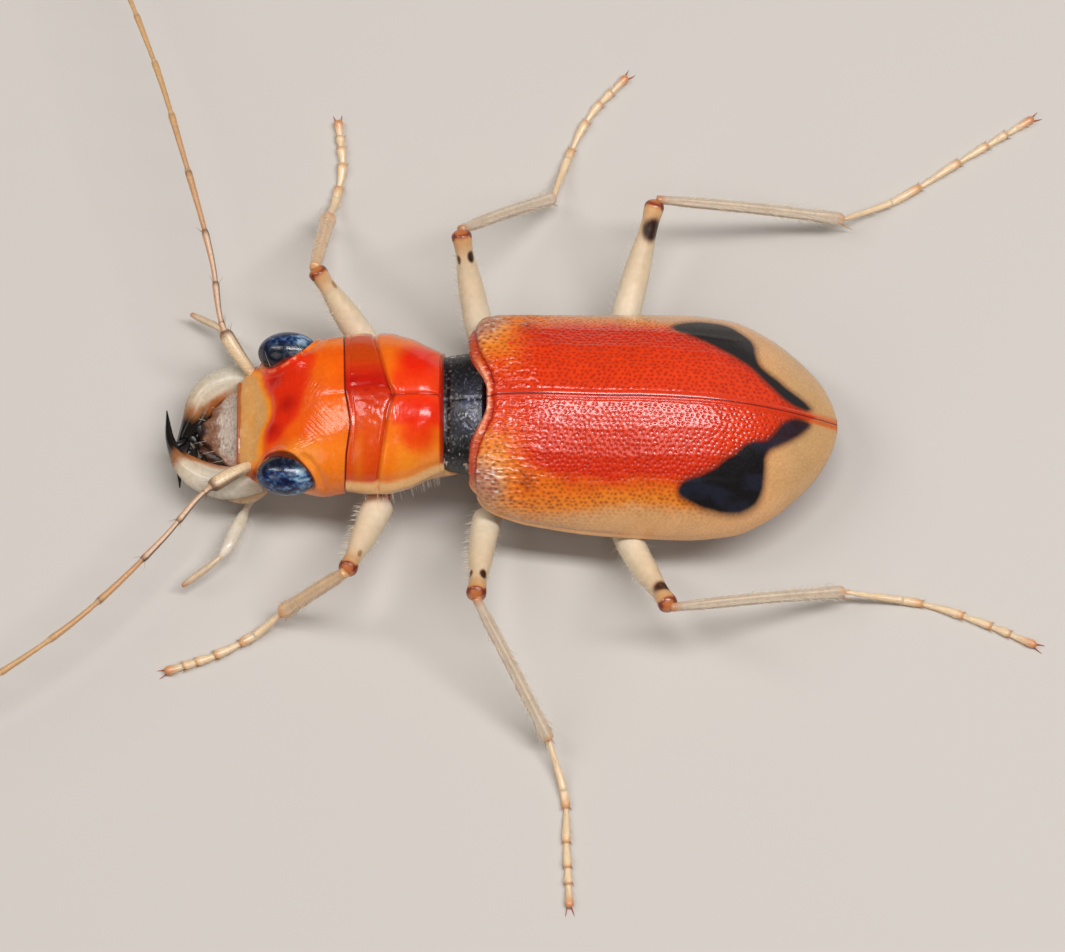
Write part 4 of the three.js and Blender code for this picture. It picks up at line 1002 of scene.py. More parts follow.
    # cheeks and throat
    paint(k, lin(196, 104, 40), smooth(0.0, -0.3, s), 0.32)
    paint(k, lin(130, 60, 22), 0.6 * smooth(-0.4, -0.9, s))
    sh = Shell("head_capsule")
    sh.add(pts, k, closed=True, cap0=True, cap1=True)
    return sh.build(["head"], "cuticle_orange", MAT["cuticle"])


make_head()


def make_eye(side, name):
    rows, cols = 110, 170
    la = np.linspace(0.02, np.pi - 0.02, rows)[:, None]
    lo = np.linspace(0, 2 * np.pi, cols, endpoint=False)[None]
    # the pole points outwards
    d = np.stack(np.broadcast_arrays(np.sin(la) * np.cos(lo), side * np.cos(la) + 0 * lo, np.sin(la) * np.sin(lo)), -1)
    r = EYE_R - 0.015
    # a lattice of facets, finer than the eye can pick out, over gently uneven glassy cuticle
    along, up = np.arctan2(d[..., 2], d[..., 0]), la + 0 * lo
    facet, _ = cells(along * 0.62 * np.sin(up), up * 0.7, 0.035, 81, 0.05)
    swell = 0.004 * np.exp(-((facet / 0.015) ** 2))
    pts = EYE_AT * np.array([1, side, 1]) + d * (r + swell[..., None])
    k = tint(d.shape[:2], lin(14, 24, 58), 0.2)
    a1, a2 = d[..., 0] * EYE_R[0], d[..., 2] * EYE_R[2] - d[..., 1] * side * EYE_R[1]
    m1 = fbm(a1 * 4.5 + 5, a2 * 4.5, 82, 3)
    m2 = fbm(a1 * 10 - 3, a2 * 10, 86, 3)
    # paler towards the lower front and the lower back
    where = 0.5 * bump(a1, -0.4, 0.34) * smooth(0.25, -0.3, d[..., 2]) + 0.42 * bump(a1, 0.42, 0.3) + 0.16 * smooth(0.5, -0.6, d[..., 2])
    pale = 0.45 * m1 + 0.75 * m2 + where + 0.01
    paint(k, lin(34, 60, 108), 0.8 * smooth(-0.15, 0.4, pale))
    paint(k, lin(92, 130, 166), 0.75 * smooth(0.15, 0.65, pale))
    paint(k, lin(170, 200, 214), 0.6 * smooth(0.5, 0.85, pale))
    paint(k, lin(10, 14, 44), 0.6 * smooth(0.05, 0.45, -0.6 * m1 - 0.5 * m2))
    inner = smooth(0.3, -0.1, d[..., 1] * side)
    paint(k, lin(8, 9, 16), 0.8 * inner)
    sh = Shell("eye_" + name + "_skin")
    sh.add(pts, k, closed=True, cap0=True, cap1=True, out=EYE_AT * np.array([1, side, 1]))
    return sh.build(["eye_" + name], "eye", MAT["eye"])


make_eye(-1, "left")
make_eye(1, "right")


# ------------------------------------------------------------------ trunk under the wing cases
def make_trunk():
    rows, half = 300, 60
    xs = np.linspace(-1.18, 7.84, rows)
    j = np.linspace(0, 1, half)
    top, _ = elytron_surface(xs[:, None], (j * np.pi / 2)[None], 1, 1.0)
    top[..., 0] = xs[:, None]
    top[..., 1] = np.maximum(top[..., 1] - lean(xs)[:, None] - 0.07, 0.0) * (j[None] > 0)
    top[..., 2] -= 0.07
    rim = elytra_rim(xs)
    w = elytra_width(xs)
    side = w - np.minimum(0.26, 0.3 * w) - 0.04
    lift, bottom = rim - 0.08, belly_bottom(xs) + 0.02
    th = (np.linspace(0, 1, 90) * np.pi / 2)[None]
    low = np.stack(np.broadcast_arrays(xs[:, None], side[:, None] * np.cos(th) ** 0.9, lift[:, None] - (lift - bottom)[:, None] * np.sin(th) ** 0.9), -1)
    edge_y, edge_z = low[..., 1], low[..., 2]
    # segments: plates overlap like tiles, each with a fine groove behind it
    cuts = np.array([-0.2, 1.15, 2.35, 3.35, 4.35, 5.3, 6.2, 7.0])
    n = outward(low, False, np.stack([xs, 0 * xs, rim + 1.0], -1)[:, None])
    dist = np.min(np.abs(xs[:, None, None] - (cuts[None, None] + 0.18 * np.sin(th)[..., None] ** 2)), -1)
    h = -0.05 * np.exp(-((dist / 0.045) ** 2)) + 0.03 * fbm(xs[:, None] * 1.2, th * 2, 91)
    h += 0.004 * fbm(xs[:, None] * 9, th * 12, 92)
    low = low + n * h[..., None]
    k_low = tint(low.shape[:2], lin(176, 104, 46), 0.35)
    paint(k_low, lin(120, 62, 24), 0.5 * smooth(-0.2, 0.5, fbm(xs[:, None] * 1.5, th * 2.5, 93)))
    paint(k_low, lin(66, 32, 14), 0.8 * np.exp(-((dist / 0.07) ** 2)))
    paint(k_low, lin(210, 150, 90), 0.5 * smooth(0.5, 0.1, th) + 0 * xs[:, None])
    paint(k_low, lin(40, 30, 28), 0.7 * smooth(0.6, -0.6, xs[:, None]) + 0 * th)
    k_top = tint(top.shape[:2], lin(110, 50, 20), 0.5)
    ring = np.concatenate([top, low[:, :], (low * np.array([1, -1, 1]))[:, -2::-1], (top * np.array([1, -1, 1]))[:, :0:-1]], 1)
    kk = np.concatenate([k_top, k_low, k_low[:, -2::-1], k_top[:, :0:-1]], 1)
    ring[..., 1] += lean(ring[..., 0])
    sh = Shell("trunk_underside")
    sh.add(ring, kk, closed=True, cap0=True, cap1=True)
    return sh.build(["metathorax", "abdomen"], "underside", MAT["under"])


make_trunk()


# ------------------------------------------------------------------ legs
LEGS = {
    "front_left": dict(hip=[-3.72, -0.78, 1.16], bend=[-4.12, -2.2, 1.6], knee=[-4.93, -4.6, 3.02], ankle=[-6.68, -4.92, 0.66], foot=[[-7.62, -5.5, 0.24], [-8.55, -5.98, 0.24], [-9.78, -6.4, 0.24]]),
    "front_right": dict(hip=[-3.72, 0.78, 1.16], bend=[-4.5, 2.35, 1.62], knee=[-5.85, 3.98, 3.2], ankle=[-5.56, 6.42, 0.74], foot=[[-5.36, 7.3, 0.26], [-5.22, 8.2, 0.24], [-5.34, 9.5, 0.24]]),
    "mid_left": dict(hip=[-0.8, -0.85, 1.0], bend=[-1.24, -2.75, 1.62], knee=[-1.5, -5.34, 3.1], ankle=[0.44, -8.5, 0.62], foot=[[0.86, -9.95, 0.26], [0.9, -11.2, 0.24], [0.98, -12.95, 0.24]]),
    "mid_right": dict(hip=[-0.72, 0.85, 1.0], bend=[-1.42, 2.8, 1.75], knee=[-1.94, 4.92, 3.6], ankle=[0.56, 7.05, 0.62], foot=[[1.05, 8.62, 0.26], [1.62, 9.75, 0.24], [2.58, 10.85, 0.24]]),
    "hind_left": dict(hip=[1.95, -0.85, 0.9], bend=[2.6, -3.2, 1.42], knee=[3.64, -5.6, 3.02], ankle=[8.36, -4.34, 0.64], foot=[[10.3, -4.46, 0.24], [11.85, -4.95, 0.24], [13.46, -5.66, 0.24]]),
    "hind_right": dict(hip=[1.95, 0.85, 0.9], bend=[2.5, 3.2, 1.42], knee=[3.34, 6.02, 3.06], ankle=[8.5, 6.42, 0.64], foot=[[10.15, 7.3, 0.24], [11.8, 8.38, 0.24], [13.76, 9.62, 0.24]]),
}
FEMUR = {"front": [0.35, 0.43, 0.38, 0.265], "mid": [0.33, 0.4, 0.37, 0.28], "hind": [0.33, 0.4, 0.38, 0.275]}
JOINTS = [0, 0.4, 0.61, 0.76, 0.86, 1.0]
bristles = Bristles("leg_bristles")
spines = Bristles("claws_and_spurs")
leg_no = 0


def around_at(path, s, angle, radius):
    """Points and outward directions on a tube, at shares s of its length and these angles."""
    t, up, side = frames(path)
    f = s * (len(path) - 1)
    i = np.clip(f.astype(int), 0, len(path) - 2)
    g = (f - i)[:, None]
    p = path[i] * (1 - g) + path[i + 1] * g
    uu, ss, tt = up[i], side[i], t[i]
    out = uu * np.cos(angle)[:, None] + ss * np.sin(angle)[:, None]
    return p + out * np.broadcast_to(radius, s.shape)[:, None], out, tt


def make_leg(name, leg):
    global leg_no
    row, sd = name.split("_")
    left = sd == "left"
    fore = 1.0 if left else -1.0  # which side of the tube's section faces forwards
    r = FEMUR[row]
    sh = Shell("leg_" + name)
    hip, bend_, knee, ankle = (np.array(leg[k]) for k in ("hip", "bend", "knee", "ankle"))

    # coxa: a rounded cone let into the body
    cr = np.array({"front": [0.5, 0.52, 0.5], "mid": [0.5, 0.54, 0.42], "hind": [0.62, 0.66, 0.34]}[row]) - 0.02
    la = np.linspace(0.03, np.pi - 0.03, 40)[:, None]
    lo = np.linspace(0, 2 * np.pi, 48, endpoint=False)[None]
    d = np.stack(np.broadcast_arrays(np.sin(la) * np.cos(lo), np.cos(la) + 0 * lo, np.sin(la) * np.sin(lo)), -1)
    cox = hip + d * cr
    kc = tint(d.shape[:2], lin(176, 112, 60), 0.36)
    paint(kc, lin(138, 70, 32), 0.6 * smooth(-0.3, 0.5, fbm(d[..., 0] * 3, d[..., 2] * 3 + d[..., 1], 100 + leg_no)))
    sh.add(cox, kc, closed=True, cap0=True, cap1=True, out=hip)

    # thigh
    start = hip + (bend_ - hip) * 0.16
    path = catmull([start, bend_, knee], 150)
    n = len(path)
    s = np.linspace(0, 1, n)
    rad = curve([[0, r[0] * 0.9], [0.06, r[0] * 0.82], [0.1, r[0] * 0.86], [0.28, r[1] * 0.99], [0.62, r[2] * 0.93], [0.88, r[3] * 0.86], [0.955, r[3] * 0.98], [1, r[3] * 0.9]])(s)
    rad = rad * round_ends(n, 0.0, 0.035)
    root = 0.0
    if left and row != "hind":
        # the thigh's own head, and the short brown joint that carries it
        u = np.clip((s - 0.285) / 0.06, 0, 1)
        rad = rad * (0.6 + 0.4 * np.sqrt(1 - (1 - u) ** 2))
        root = 0.285
    pts, ang = tube(path, rad, rad * 1.0, 56)
    A, S = np.broadcast_arrays(ang[None], s[:, None])
    face = np.sin(A) * fore  # 1 faces forwards, -1 backwards
    topness = np.cos(A)
    fr = outward(pts, True)
    dd = -0.02 * bump(S, 0.085, 0.014) + 0.006 * fbm(S * 26, A * 1.5, 103 + leg_no) * smooth(0.1, 0.2, S)
    dd += -0.03 * bump(S, 0.93, 0.012) * smooth(0.2, -0.5, topness)
    pts = pts + fr * dd[..., None]
    k = tint(A.shape, IVORY, 0.36)
    # paler along the top of the thigh's middle: a painted highlight
    paint(k, IVORY_PALE, 0.5 * bump(S, 0.4, 0.25) * smooth(-0.4, 0.6, topness))
    paint(k, lin(206, 150, 84), 0.75 * smooth(0.78, 0.98, S))
    paint(k, lin(222, 176, 116), 0.5 * smooth(0.12, 0.0, S))
    paint(k, lin(196, 120, 60), 0.8 * smooth(0.1, 0.05, S))
    # darker underneath: painted shade
    paint(k, lin(198, 168, 128), 0.4 * smooth(0.1, -0.8, topness))
    if root:
        paint(k, lin(178, 84, 34), 0.9 * smooth(root + 0.008, root - 0.008, S), 0.28)
        paint(k, lin(110, 48, 22), 0.6 * bump(S, root, 0.008))
    wob = 0.012 * fbm(S * 60, A * 4, 104 + leg_no)
    # length of the thigh in mm, so that marks keep their size
    L = np.linalg.norm(np.diff(path, axis=0), axis=1).sum()
    sm = (1 - S) * L  # mm from the knee
    arc = rad[:, None]

    def oval(mm_from_knee, angle, long_, wide):
        da = np.abs((A * fore - angle + np.pi) % (2 * np.pi) - np.pi) * arc
        return np.sqrt(((sm - mm_from_knee) / long_) ** 2 + (da / wide) ** 2) + wob * 4

    def dab(d0, color, strength=1.0, soft=0.3):
        paint(k, color, strength * smooth(1 + soft, 1 - soft, d0))

    if row == "mid":
        dab(oval(0.74, -0.6, 0.17, 0.11), DARK)
        dab(oval(0.78, 0.95, 0.13, 0.07), lin(80, 40, 18), 0.95)
    elif row == "hind":
        centre, angle, long_, wide_ = (0.7, -0.57, 0.17, 0.29) if left else (0.8, -0.55, 0.3, 0.26)
        dab(oval(centre, angle, long_ + 0.06, wide_ + 0.05), lin(120, 70, 30), 0.7, 0.4)
        dab(oval(centre, angle, long_, wide_), DARK)
    else:
        dab(oval(0.66, -0.7, 0.12, 0.07), lin(132, 76, 36), 0.7)
    # knee: tan, with a narrow dark red ring round the joint and two dark corners
    paint(k, lin(188, 98, 42), 0.8 * smooth(0.26, 0.1, sm), 0.2)
    paint(k, lin(112, 28, 10), 0.9 * bump(sm, 0.11, 0.045))
    dab(oval(0.15, -1.2, 0.11, 0.1), lin(104, 26, 9), 0.97)
    dab(oval(0.15, 1.2, 0.1, 0.09), lin(112, 34, 12), 0.92)
    sh.add(pts, k, closed=True, cap0=True, cap1=True)
    femur_path, femur_rad = path, rad

    # shin: ridged, half clear, widening to its spurs
    mid = (knee + ankle) / 2 + np.array([0, 0, 0.04 if row == "front" else 0.1])
    tpath = catmull([knee, mid, ankle], 150)
    s = np.linspace(0, 1, n)
    base = {"front": 0.175, "mid": 0.15, "hind": 0.14}[row]
    trad = curve([[0, base * 0.8], [0.03, base * 0.86], [0.08, base * 0.86], [0.2, base], [0.8, base * 1.06], [0.94, base * 1.3], [1, base * 1.12]])(s) * round_ends(n, 0.008, 0.02)
    pts, ang = tube(tpath, trad, trad, 44)
    A, S = np.broadcast_arrays(ang[None], s[:, None])
    topness = np.cos(A)
    fr = outward(pts, True)
    dd = 0.012 * np.cos(A * 6) * smooth(0.05, 0.15, S) * smooth(0.97, 0.9, S) + 0.004 * fbm(S * 50, A * 2, 110 + leg_no)
    pts = pts + fr * dd[..., None]
    k = tint(A.shape, GLASSY, 0.3)
    paint(k, lin(228, 210, 186), 0.55 * smooth(0.1, 1.0, np.cos(A * 6)) * smooth(0.1, 0.3, S))
    # darker underneath: painted shade
    paint(k, lin(196, 170, 140), 0.45 * smooth(0.2, -0.8, topness))
    paint(k, lin(190, 116, 58), 0.75 * smooth(0.07, 0.0, S))
    paint(k, lin(214, 150, 84), 0.65 * smooth(0.93, 1.0, S))
    if row == "front":
        paint(k, lin(222, 172, 112), 0.5)
        paint(k, lin(214, 130, 60), 0.6 * smooth(0.85, 1.0, S))
    paint(k, lin(176, 148, 124), 0.3 * smooth(0.2, 0.6, fbm(S * 14, A, 112 + leg_no)))
    sh.add(pts, k, closed=True, cap0=True, cap1=True)

    # foot: five joints, each widening to its far end, resting on the floor
    foot = np.array([ankle.tolist()] + leg["foot"])
    fpath = catmull(foot, 400)
    s = np.linspace(0, 1, 400)
    size = {"front": 1.12, "mid": 1.0, "hind": 0.98}[row]
    frad = np.zeros(400)
    joint = np.zeros(400)
    for a, b in zip(JOINTS[:-1], JOINTS[1:]):
        m = (s >= a) & (s <= b)
        u = (s[m] - a) / (b - a)
        frad[m] = np.interp(u, [0, 0.05, 0.25, 0.8, 0.95, 1], [0.05, 0.068, 0.08, 0.115, 0.12, 0.085]) * size
        joint[m] = smooth(0.8, 1.0, u) + 0.5 * smooth(0.12, 0.0, u)
    frad = np.convolve(np.pad(frad, 3, mode="edge"), np.ones(7) / 7, "valid")
    frad = frad * round_ends(400, 0.006, 0.01)
    # drop the path so that the joints touch the floor, from the ankle down to it
    z0 = fpath[:, 2].copy()
    settle = smooth(0.66, 0.3, z0)
    fpath[:, 2] = np.where(z0 < 0.3, frad * 0.96, mix(z0, frad + (z0 - 0.24) * 0.9, settle))
    fpath[:, 2] = np.maximum(fpath[:, 2], frad * 0.96)
    pts, ang = tube(fpath, frad, frad * 0.92, 28)
    pts[..., 2] = np.maximum(pts[..., 2], 0.0005)
    A, S = np.broadcast_arrays(ang[None], s[:, None])
    k = tint(A.shape, lin(222, 190, 150), 0.36)
    paint(k, lin(206, 138, 72), 0.65 * joint[:, None] + 0 * A)
    # paler along the top of each joint: a painted highlight
    paint(k, lin(236, 216, 184), 0.4 * smooth(0.2, 1.0, np.cos(A)) * (1 - joint[:, None]))
    paint(k, lin(196, 116, 60), 0.7 * smooth(0.9, 1.0, S))
    sh.add(pts, k, closed=True, cap0=True, cap1=True)
    ob = sh.build(["coxa_" + name, "femur_" + name, "tibia_" + name, "tarsus_" + name], "thigh", MAT["limb"])

    # bristles: rows on the thigh's front edge, on the shin, and short ones under the foot
    row_v = (leg_no + 0.5) / 8.0
    k0 = 46 if row != "hind" else 22
    ss = np.linspace(0.12, 0.86, k0) + rng.uniform(-0.008, 0.008, k0)
    for angle, keep in ((1.25, 1.0), (1.75, 0.9), (-1.9, 0.45)):
        m = rng.random(k0) < keep
        a = np.full(m.sum(), angle * fore) + rng.normal(0, 0.14, m.sum())
        rr = np.interp(ss[m], np.linspace(0, 1, n), femur_rad)
        p, o, t = around_at(femur_path, ss[m], a, rr * 0.97)
        bristles.add(p, o + 0.25 * t + rng.normal(0, 0.08, p.shape), rng.uniform(0.14, 0.26, m.sum()), 0.007, lin(238, 228, 206), np.stack([0.02 + 0.3 * ss[m], row_v + 0.06 * np.sin(a)], 1), bend=0.5 * t)
    # the fine down over the thigh
    kd = 110
    sd_, ad = rng.uniform(0.1, 0.93, kd), rng.uniform(0, 2 * np.pi, kd)
    p, o, t = around_at(femur_path, sd_, ad, np.interp(sd_, np.linspace(0, 1, n), femur_rad) * 0.98)
    bristles.add(p, o * 0.5 + t, rng.uniform(0.06, 0.12, kd), 0.004, lin(236, 222, 196), np.stack([0.02 + 0.3 * sd_, row_v + 0.05 * np.sin(ad)], 1), bend=0.1 * t)
    # shin
    ks = 150 if row != "front" else 90
    st = rng.beta(1.6, 1.1, ks) * 0.9 + 0.06
    at_ = rng.choice([0.9, 2.2, -0.9, -2.2, 1.57, -1.57], ks) + rng.normal(0, 0.18, ks)
    p, o, t = around_at(tpath, st, at_, np.interp(st, np.linspace(0, 1, n), trad) * 0.97)
    bristles.add(p, o * 0.55 + t, rng.uniform(0.16, 0.34, ks) * (0.6 + 0.5 * st), 0.0075, lin(234, 222, 200), np.stack([0.36 + 0.28 * st, row_v + 0.05 * np.sin(at_)], 1), bend=0.12 * t)
    # foot
    kf = 150
    sf = rng.uniform(0.02, 0.97, kf)
    af = rng.choice([1.2, -1.2, 2.0, -2.0, 0.3], kf) + rng.normal(0, 0.25, kf)
    p, o, t = around_at(fpath, sf, af, np.interp(sf, s, frad) * 0.95)
    p[:, 2] = np.maximum(p[:, 2], 0.03)
    way = o * 0.6 + t
    way[:, 2] = np.maximum(way[:, 2], -0.1)
    bristles.add(p, way, rng.uniform(0.08, 0.2, kf), 0.006, lin(232, 214, 186), np.stack([0.66 + 0.32 * sf, row_v + 0.05 * np.sin(af)], 1), bend=0.05 * t)
    # spines at the end of each foot joint, and two spurs on the shin
    for b in JOINTS[1:-1]:
        a = np.array([1.7, -1.7, 2.2, -2.2])
        sf = np.full(4, b - 0.01)
        p, o, t = around_at(fpath, sf, a, np.interp(sf, s, frad) * 0.8)
        p[:, 2] = np.maximum(p[:, 2], 0.04)
        way = o * 0.5 + t
        way[:, 2] = np.maximum(way[:, 2], -0.05)
        spines.add(p, way, 0.16, 0.012, lin(196, 128, 76), np.stack([0.66 + 0.32 * sf, np.full(4, row_v)], 1))
    a = np.array([2.6, -2.6])
    p, o, t = around_at(tpath, np.array([0.985, 0.985]), a, base)
    way = t * 1.0 + o * 0.35
    spines.add(p, way, np.array([0.42, 0.36]) * (1.35 if row == "hind" else 1), 0.026, lin(214, 160, 104), np.stack([np.full(2, 0.64), np.full(2, row_v)], 1))
    # claws
    tip = fpath[-1]
    t = fpath[-1] - fpath[-8]
    t[2] = 0
    t /= np.linalg.norm(t)
    across = np.cross([0, 0, 1.0], t)
    for sg in (-1, 1):
        root = tip + across * 0.035 * sg - t * 0.03 + np.array([0, 0, 0.02])
        way = t + across * 0.42 * sg + np.array([0, 0, 0.28])
        spines.add(root[None], way[None], 0.34, 0.026, lin(176, 80, 40), np.array([[0.99, row_v]]), bend=np.array([[0, 0, -0.42]]) - 0.12 * across * sg, rough=0.2)
    leg_no += 1
    return ob


for leg_name, leg in LEGS.items():
    make_leg(leg_name, leg)


# ------------------------------------------------------------------ feelers
FEELERS = {
    "left": [[-7.4, -1.16, 1.86], [-7.72, -1.4, 2.22], [-8.72, -2.12, 2.42], [-9.86, -3.5, 2.42], [-12.0, -5.7, 2.5], [-14.4, -7.45, 2.42], [-16.9, -8.9, 2.05], [-19.0, -9.8, 1.55]],
    "right": [[-7.38, 1.26, 1.86], [-7.68, 1.52, 2.26], [-8.3, 2.45, 2.66], [-8.62, 4.3, 2.9], [-9.44, 7.3, 3.2], [-10.4, 10.4, 3.1], [-11.6, 13.2, 2.8], [-13.2, 15.0, 2.4]],
}


def make_feeler(name, line, no):
    path = catmull(line, 900)
    n = len(path)
    s = np.linspace(0, 1, n)
    L = np.linalg.norm(np.diff(path, axis=0), axis=1).sum()
    ends = np.array([0.0, 1.76, 2.02, 3.2, 4.75, 6.6, 8.4, 10.1, 11.7, 13.2, 14.6, 16.2]) / 16.2
    rad = np.zeros(n)
    joint = np.zeros(n)
    which = np.zeros(n, int)
    thick = [0.2, 0.092, 0.088, 0.088, 0.088, 0.086, 0.082, 0.078, 0.074, 0.07, 0.062]
    for i, (a, b) in enumerate(zip(ends[:-1], ends[1:])):
        m = (s >= a) & (s <= b)
        u = (s[m] - a) / (b - a)
        shape = [0.6, 0.62, 0.78, 1.0, 1.0, 0.72] if i == 0 else [0.6, 0.78, 0.84, 1.0, 1.14, 0.86]
        at = [0, 0.05, 0.3, 0.7, 0.93, 1]
        rad[m] = np.interp(u, at, shape) * thick[i]
        joint[m] = smooth(0.84, 0.98, u)
        which[m] = i
    rad = np.convolve(np.pad(rad, 4, mode="edge"), np.ones(9) / 9, "valid") * round_ends(n, 0.003, 0.008)
    pts, ang = tube(path, rad, rad, 22)
    A, S = np.broadcast_arrays(ang[None], s[:, None])
    k = tint(A.shape, lin(190, 142, 100), 0.4)
    early = (which < 4)[:, None] & (A > -9)
    pale = np.where(early, 1.0, 0.0)
    paint(k, lin(198, 150, 112), 0.8 * pale)
    # a pale stripe along the upper side of the first joints: a painted highlight
    paint(k, lin(226, 218, 200), 0.35 * pale * smooth(0.5, 0.9, np.cos(A + (0.5 if name == "left" else -0.5))))
    paint(k, lin(220, 194, 156), 0.9 * np.where((which == 0)[:, None], 1.0, 0.0) * smooth(1.76 / 16.2, 1.5 / 16.2, S), 0.24)
    far = smooth(0.25, 0.6, S)
    paint(k, lin(196, 154, 104), 0.8 * far)
    # dark hind line and end spot on the first joints
    rear = smooth(0.55, 0.85, np.sin(A) * (-1 if name == "left" else 1))
    paint(k, lin(74, 44, 24), 0.8 * rear * pale * smooth(0.02, 0.06, S))
    paint(k, lin(84, 44, 20), 0.7 * joint[:, None] * np.where((which < 5)[:, None], 1.0, 0.25) * smooth(0.05, 0.1, S) + 0 * A)
    paint(k, lin(226, 200, 160), 0.4 * smooth(0.2, 0.0, (1 - joint))[:, None] * (1 - pale))
    sh = Shell("feeler_" + name)
    sh.add(pts, k, closed=True, cap0=True, cap1=True)
    ob = sh.build(["antenna_" + name], "feeler", MAT["feeler"])
    # fine down on the outer joints, and a few bristles at the first joints' ends
    kd = 900
    sd_ = rng.uniform(0.3, 0.995, kd)
    ad = rng.uniform(0, 2 * np.pi, kd)
    p, o, t = around_at(path, sd_, ad, np.interp(sd_, s, rad) * 0.97)
    bristles.add(p, o * 0.45 + t, rng.uniform(0.04, 0.08, kd), 0.004, lin(226, 196, 148), np.stack([0.02 + 0.95 * sd_, 0.78 + 0.09 * no + 0.02 * np.sin(ad)], 1))
    for b in ends[1:5]:
        a = rng.uniform(0, 2 * np.pi, 5)
        sf = np.full(5, b - 0.004)
        p, o, t = around_at(path, sf, a, np.interp(sf, s, rad) * 0.9)
        bristles.add(p, o * 0.8 + t, 0.26, 0.007, lin(150, 104, 60), np.stack([0.02 + 0.95 * sf, np.full(5, 0.78 + 0.09 * no)], 1), bend=0.1 * t)
    return ob


make_feeler("left", FEELERS["left"], 0)
make_feeler("right", FEELERS["right"], 1)


# ------------------------------------------------------------------ mouth
def make_lip():
    rows, cols = 90, 120
    t = np.linspace(0, 1, rows)[:, None]
    a = np.linspace(0, 2 * np.pi, cols, endpoint=False)[None]
    halfw = curve([[0, 1.12], [0.3, 1.1], [0.46, 1.0], [0.62, 0.76], [0.85, 0.44], [1, 0.16]])(t)
    hh = curve([[0, 0.22], [0.6, 0.19], [1, 0.1]])(t)
    x = mix(-7.68, -8.9, t) + 0 * a
    z = mix(1.74, 1.28, t**0.9)
    cc, ss = np.cos(a), np.sin(a)
    yy = halfw * spow(cc, 0.8)
    zz = z + hh * spow(ss, 0.8) + 0.14 * (1 - cc**2) * (1 - t) - 0.1
    # the front edge carries blunt teeth: the plate is pulled back between them
    scallop = 0.06 * np.cos(yy * 15) * smooth(0.3, 0.85, t) * smooth(0.2, 0.8, np.abs(cc) + t - 0.4)
    pts = np.stack(np.broadcast_arrays(x + scallop, yy + 0 * x, zz + 0 * x), -1)
    n = outward(pts, True)
    dent, own = cells(x * 1.0, yy + 0 * x, 0.082, 121, 0.9)
    up = smooth(0.1, 0.5, ss) + 0 * t
    lump = fbm(x * 9, yy * 9, 123, 2)
    pts = pts + n * (-0.012 * np.exp(-((dent / 0.022) ** 2)) * up - 0.015 * bump(yy, 0, 0.12) * up + 0.008 * lump * up)[..., None]
    k = tint(x.shape, lin(190, 172, 156), 0.32)
    edge = halfw - np.abs(yy)
    m = fbm(x * 6, yy * 6, 122)
    paint(k, lin(196, 140, 116), 0.7 * smooth(0.28, 0.08, edge + 0.06 * m) * smooth(0.75, 0.4, t))
    paint(k, lin(168, 150, 136), 0.45 * smooth(0.0, 0.5, m) * up)
    brown = smooth(0.56, 0.68, t + 0.1 * m + 0.05 * np.abs(yy))
    paint(k, lin(128, 84, 60), 0.95 * brown)
    paint(k, lin(170, 140, 124), 0.7 * brown * smooth(0.15, 0.5, fbm(x * 8, yy * 8, 124)))
    paint(k, lin(52, 26, 18), 0.9 * smooth(0.86, 0.97, t + 0.05 * m) + 0 * yy)
    paint(k, lin(60, 28, 18), 0.85 * smooth(0.07, 0.02, edge) * smooth(0.3, 0.5, t))
    paint(k, lin(176, 104, 70), 0.6 * smooth(0.2, 0.13, t) + 0 * yy)
    paint(k, lin(92, 84, 82), 0.85 * np.exp(-((dent / 0.018) ** 2)) * (own > 0.3) * up * (1 - brown))
    sh = Shell("upper_lip")
    sh.add(pts, k, closed=True, cap0=True, cap1=True)
    # the dark floor of the mouth, and the bristly lobes on each side of it; their dark brown is partly painted shade
    # between the jaws
    u = np.linspace(0, 1, 60)
    for sd in (-1, 0, 1):
        line = catmull([[-7.4, 0.55 * sd, 0.98], [-8.1, 0.62 * sd, 0.92], [-8.75, 0.42 * sd, 0.84], [-9.05, 0.26 * sd, 0.8]], 60)
        rad = curve([[0, 0.3], [0.4, 0.34], [0.8, 0.2], [1, 0.04]])(u) * round_ends(60, 0.03, 0.02)
        fl, ang = tube(line, rad * (1.15 if sd else 1.5), rad * 0.55, 28)
        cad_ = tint(fl.shape[:2], lin(70, 36, 20), 0.4)
        paint(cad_, lin(150, 92, 52), 0.6 * smooth(0.5, 0.1, u)[:, None] + 0 * ang[None])
        sh.add(fl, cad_, closed=True, cap0=True, cap1=True)
        if sd:
            sf = rng.uniform(0.35, 0.98, 40)
            af = rng.uniform(-1.3, 1.3, 40) - 0.4 * sd
            p, o, tt = around_at(line, sf, af, np.interp(sf, u, rad) * 0.9)
            bristles.add(p, tt + 0.6 * o, rng.uniform(0.16, 0.3, 40), 0.009, lin(150, 92, 48), np.stack([0.45 + 0.04 * sf, np.full(40, 0.975)], 1))
    # a row of stiff bristles along the edge
    for yb in (-0.92, -0.62, -0.3, 0.3, 0.62, 0.92):
        tb = float(np.interp(abs(yb), [0.16, 0.44, 0.76, 1.0, 1.12], [1, 0.85, 0.62, 0.46, 0]))
        bristles.add(np.array([[mix(-7.68, -8.9, tb), yb, mix(1.74, 1.28, tb) + 0.02]]), np.array([[-1, 0.25 * np.sign(yb), 0.25]]), 0.42, 0.009, lin(206, 180, 140), np.array([[0.5, 0.97]]), bend=np.array([[0, 0, -0.25]]))
    return sh.build(["labrum"], "lip", MAT["lip"])


make_lip()

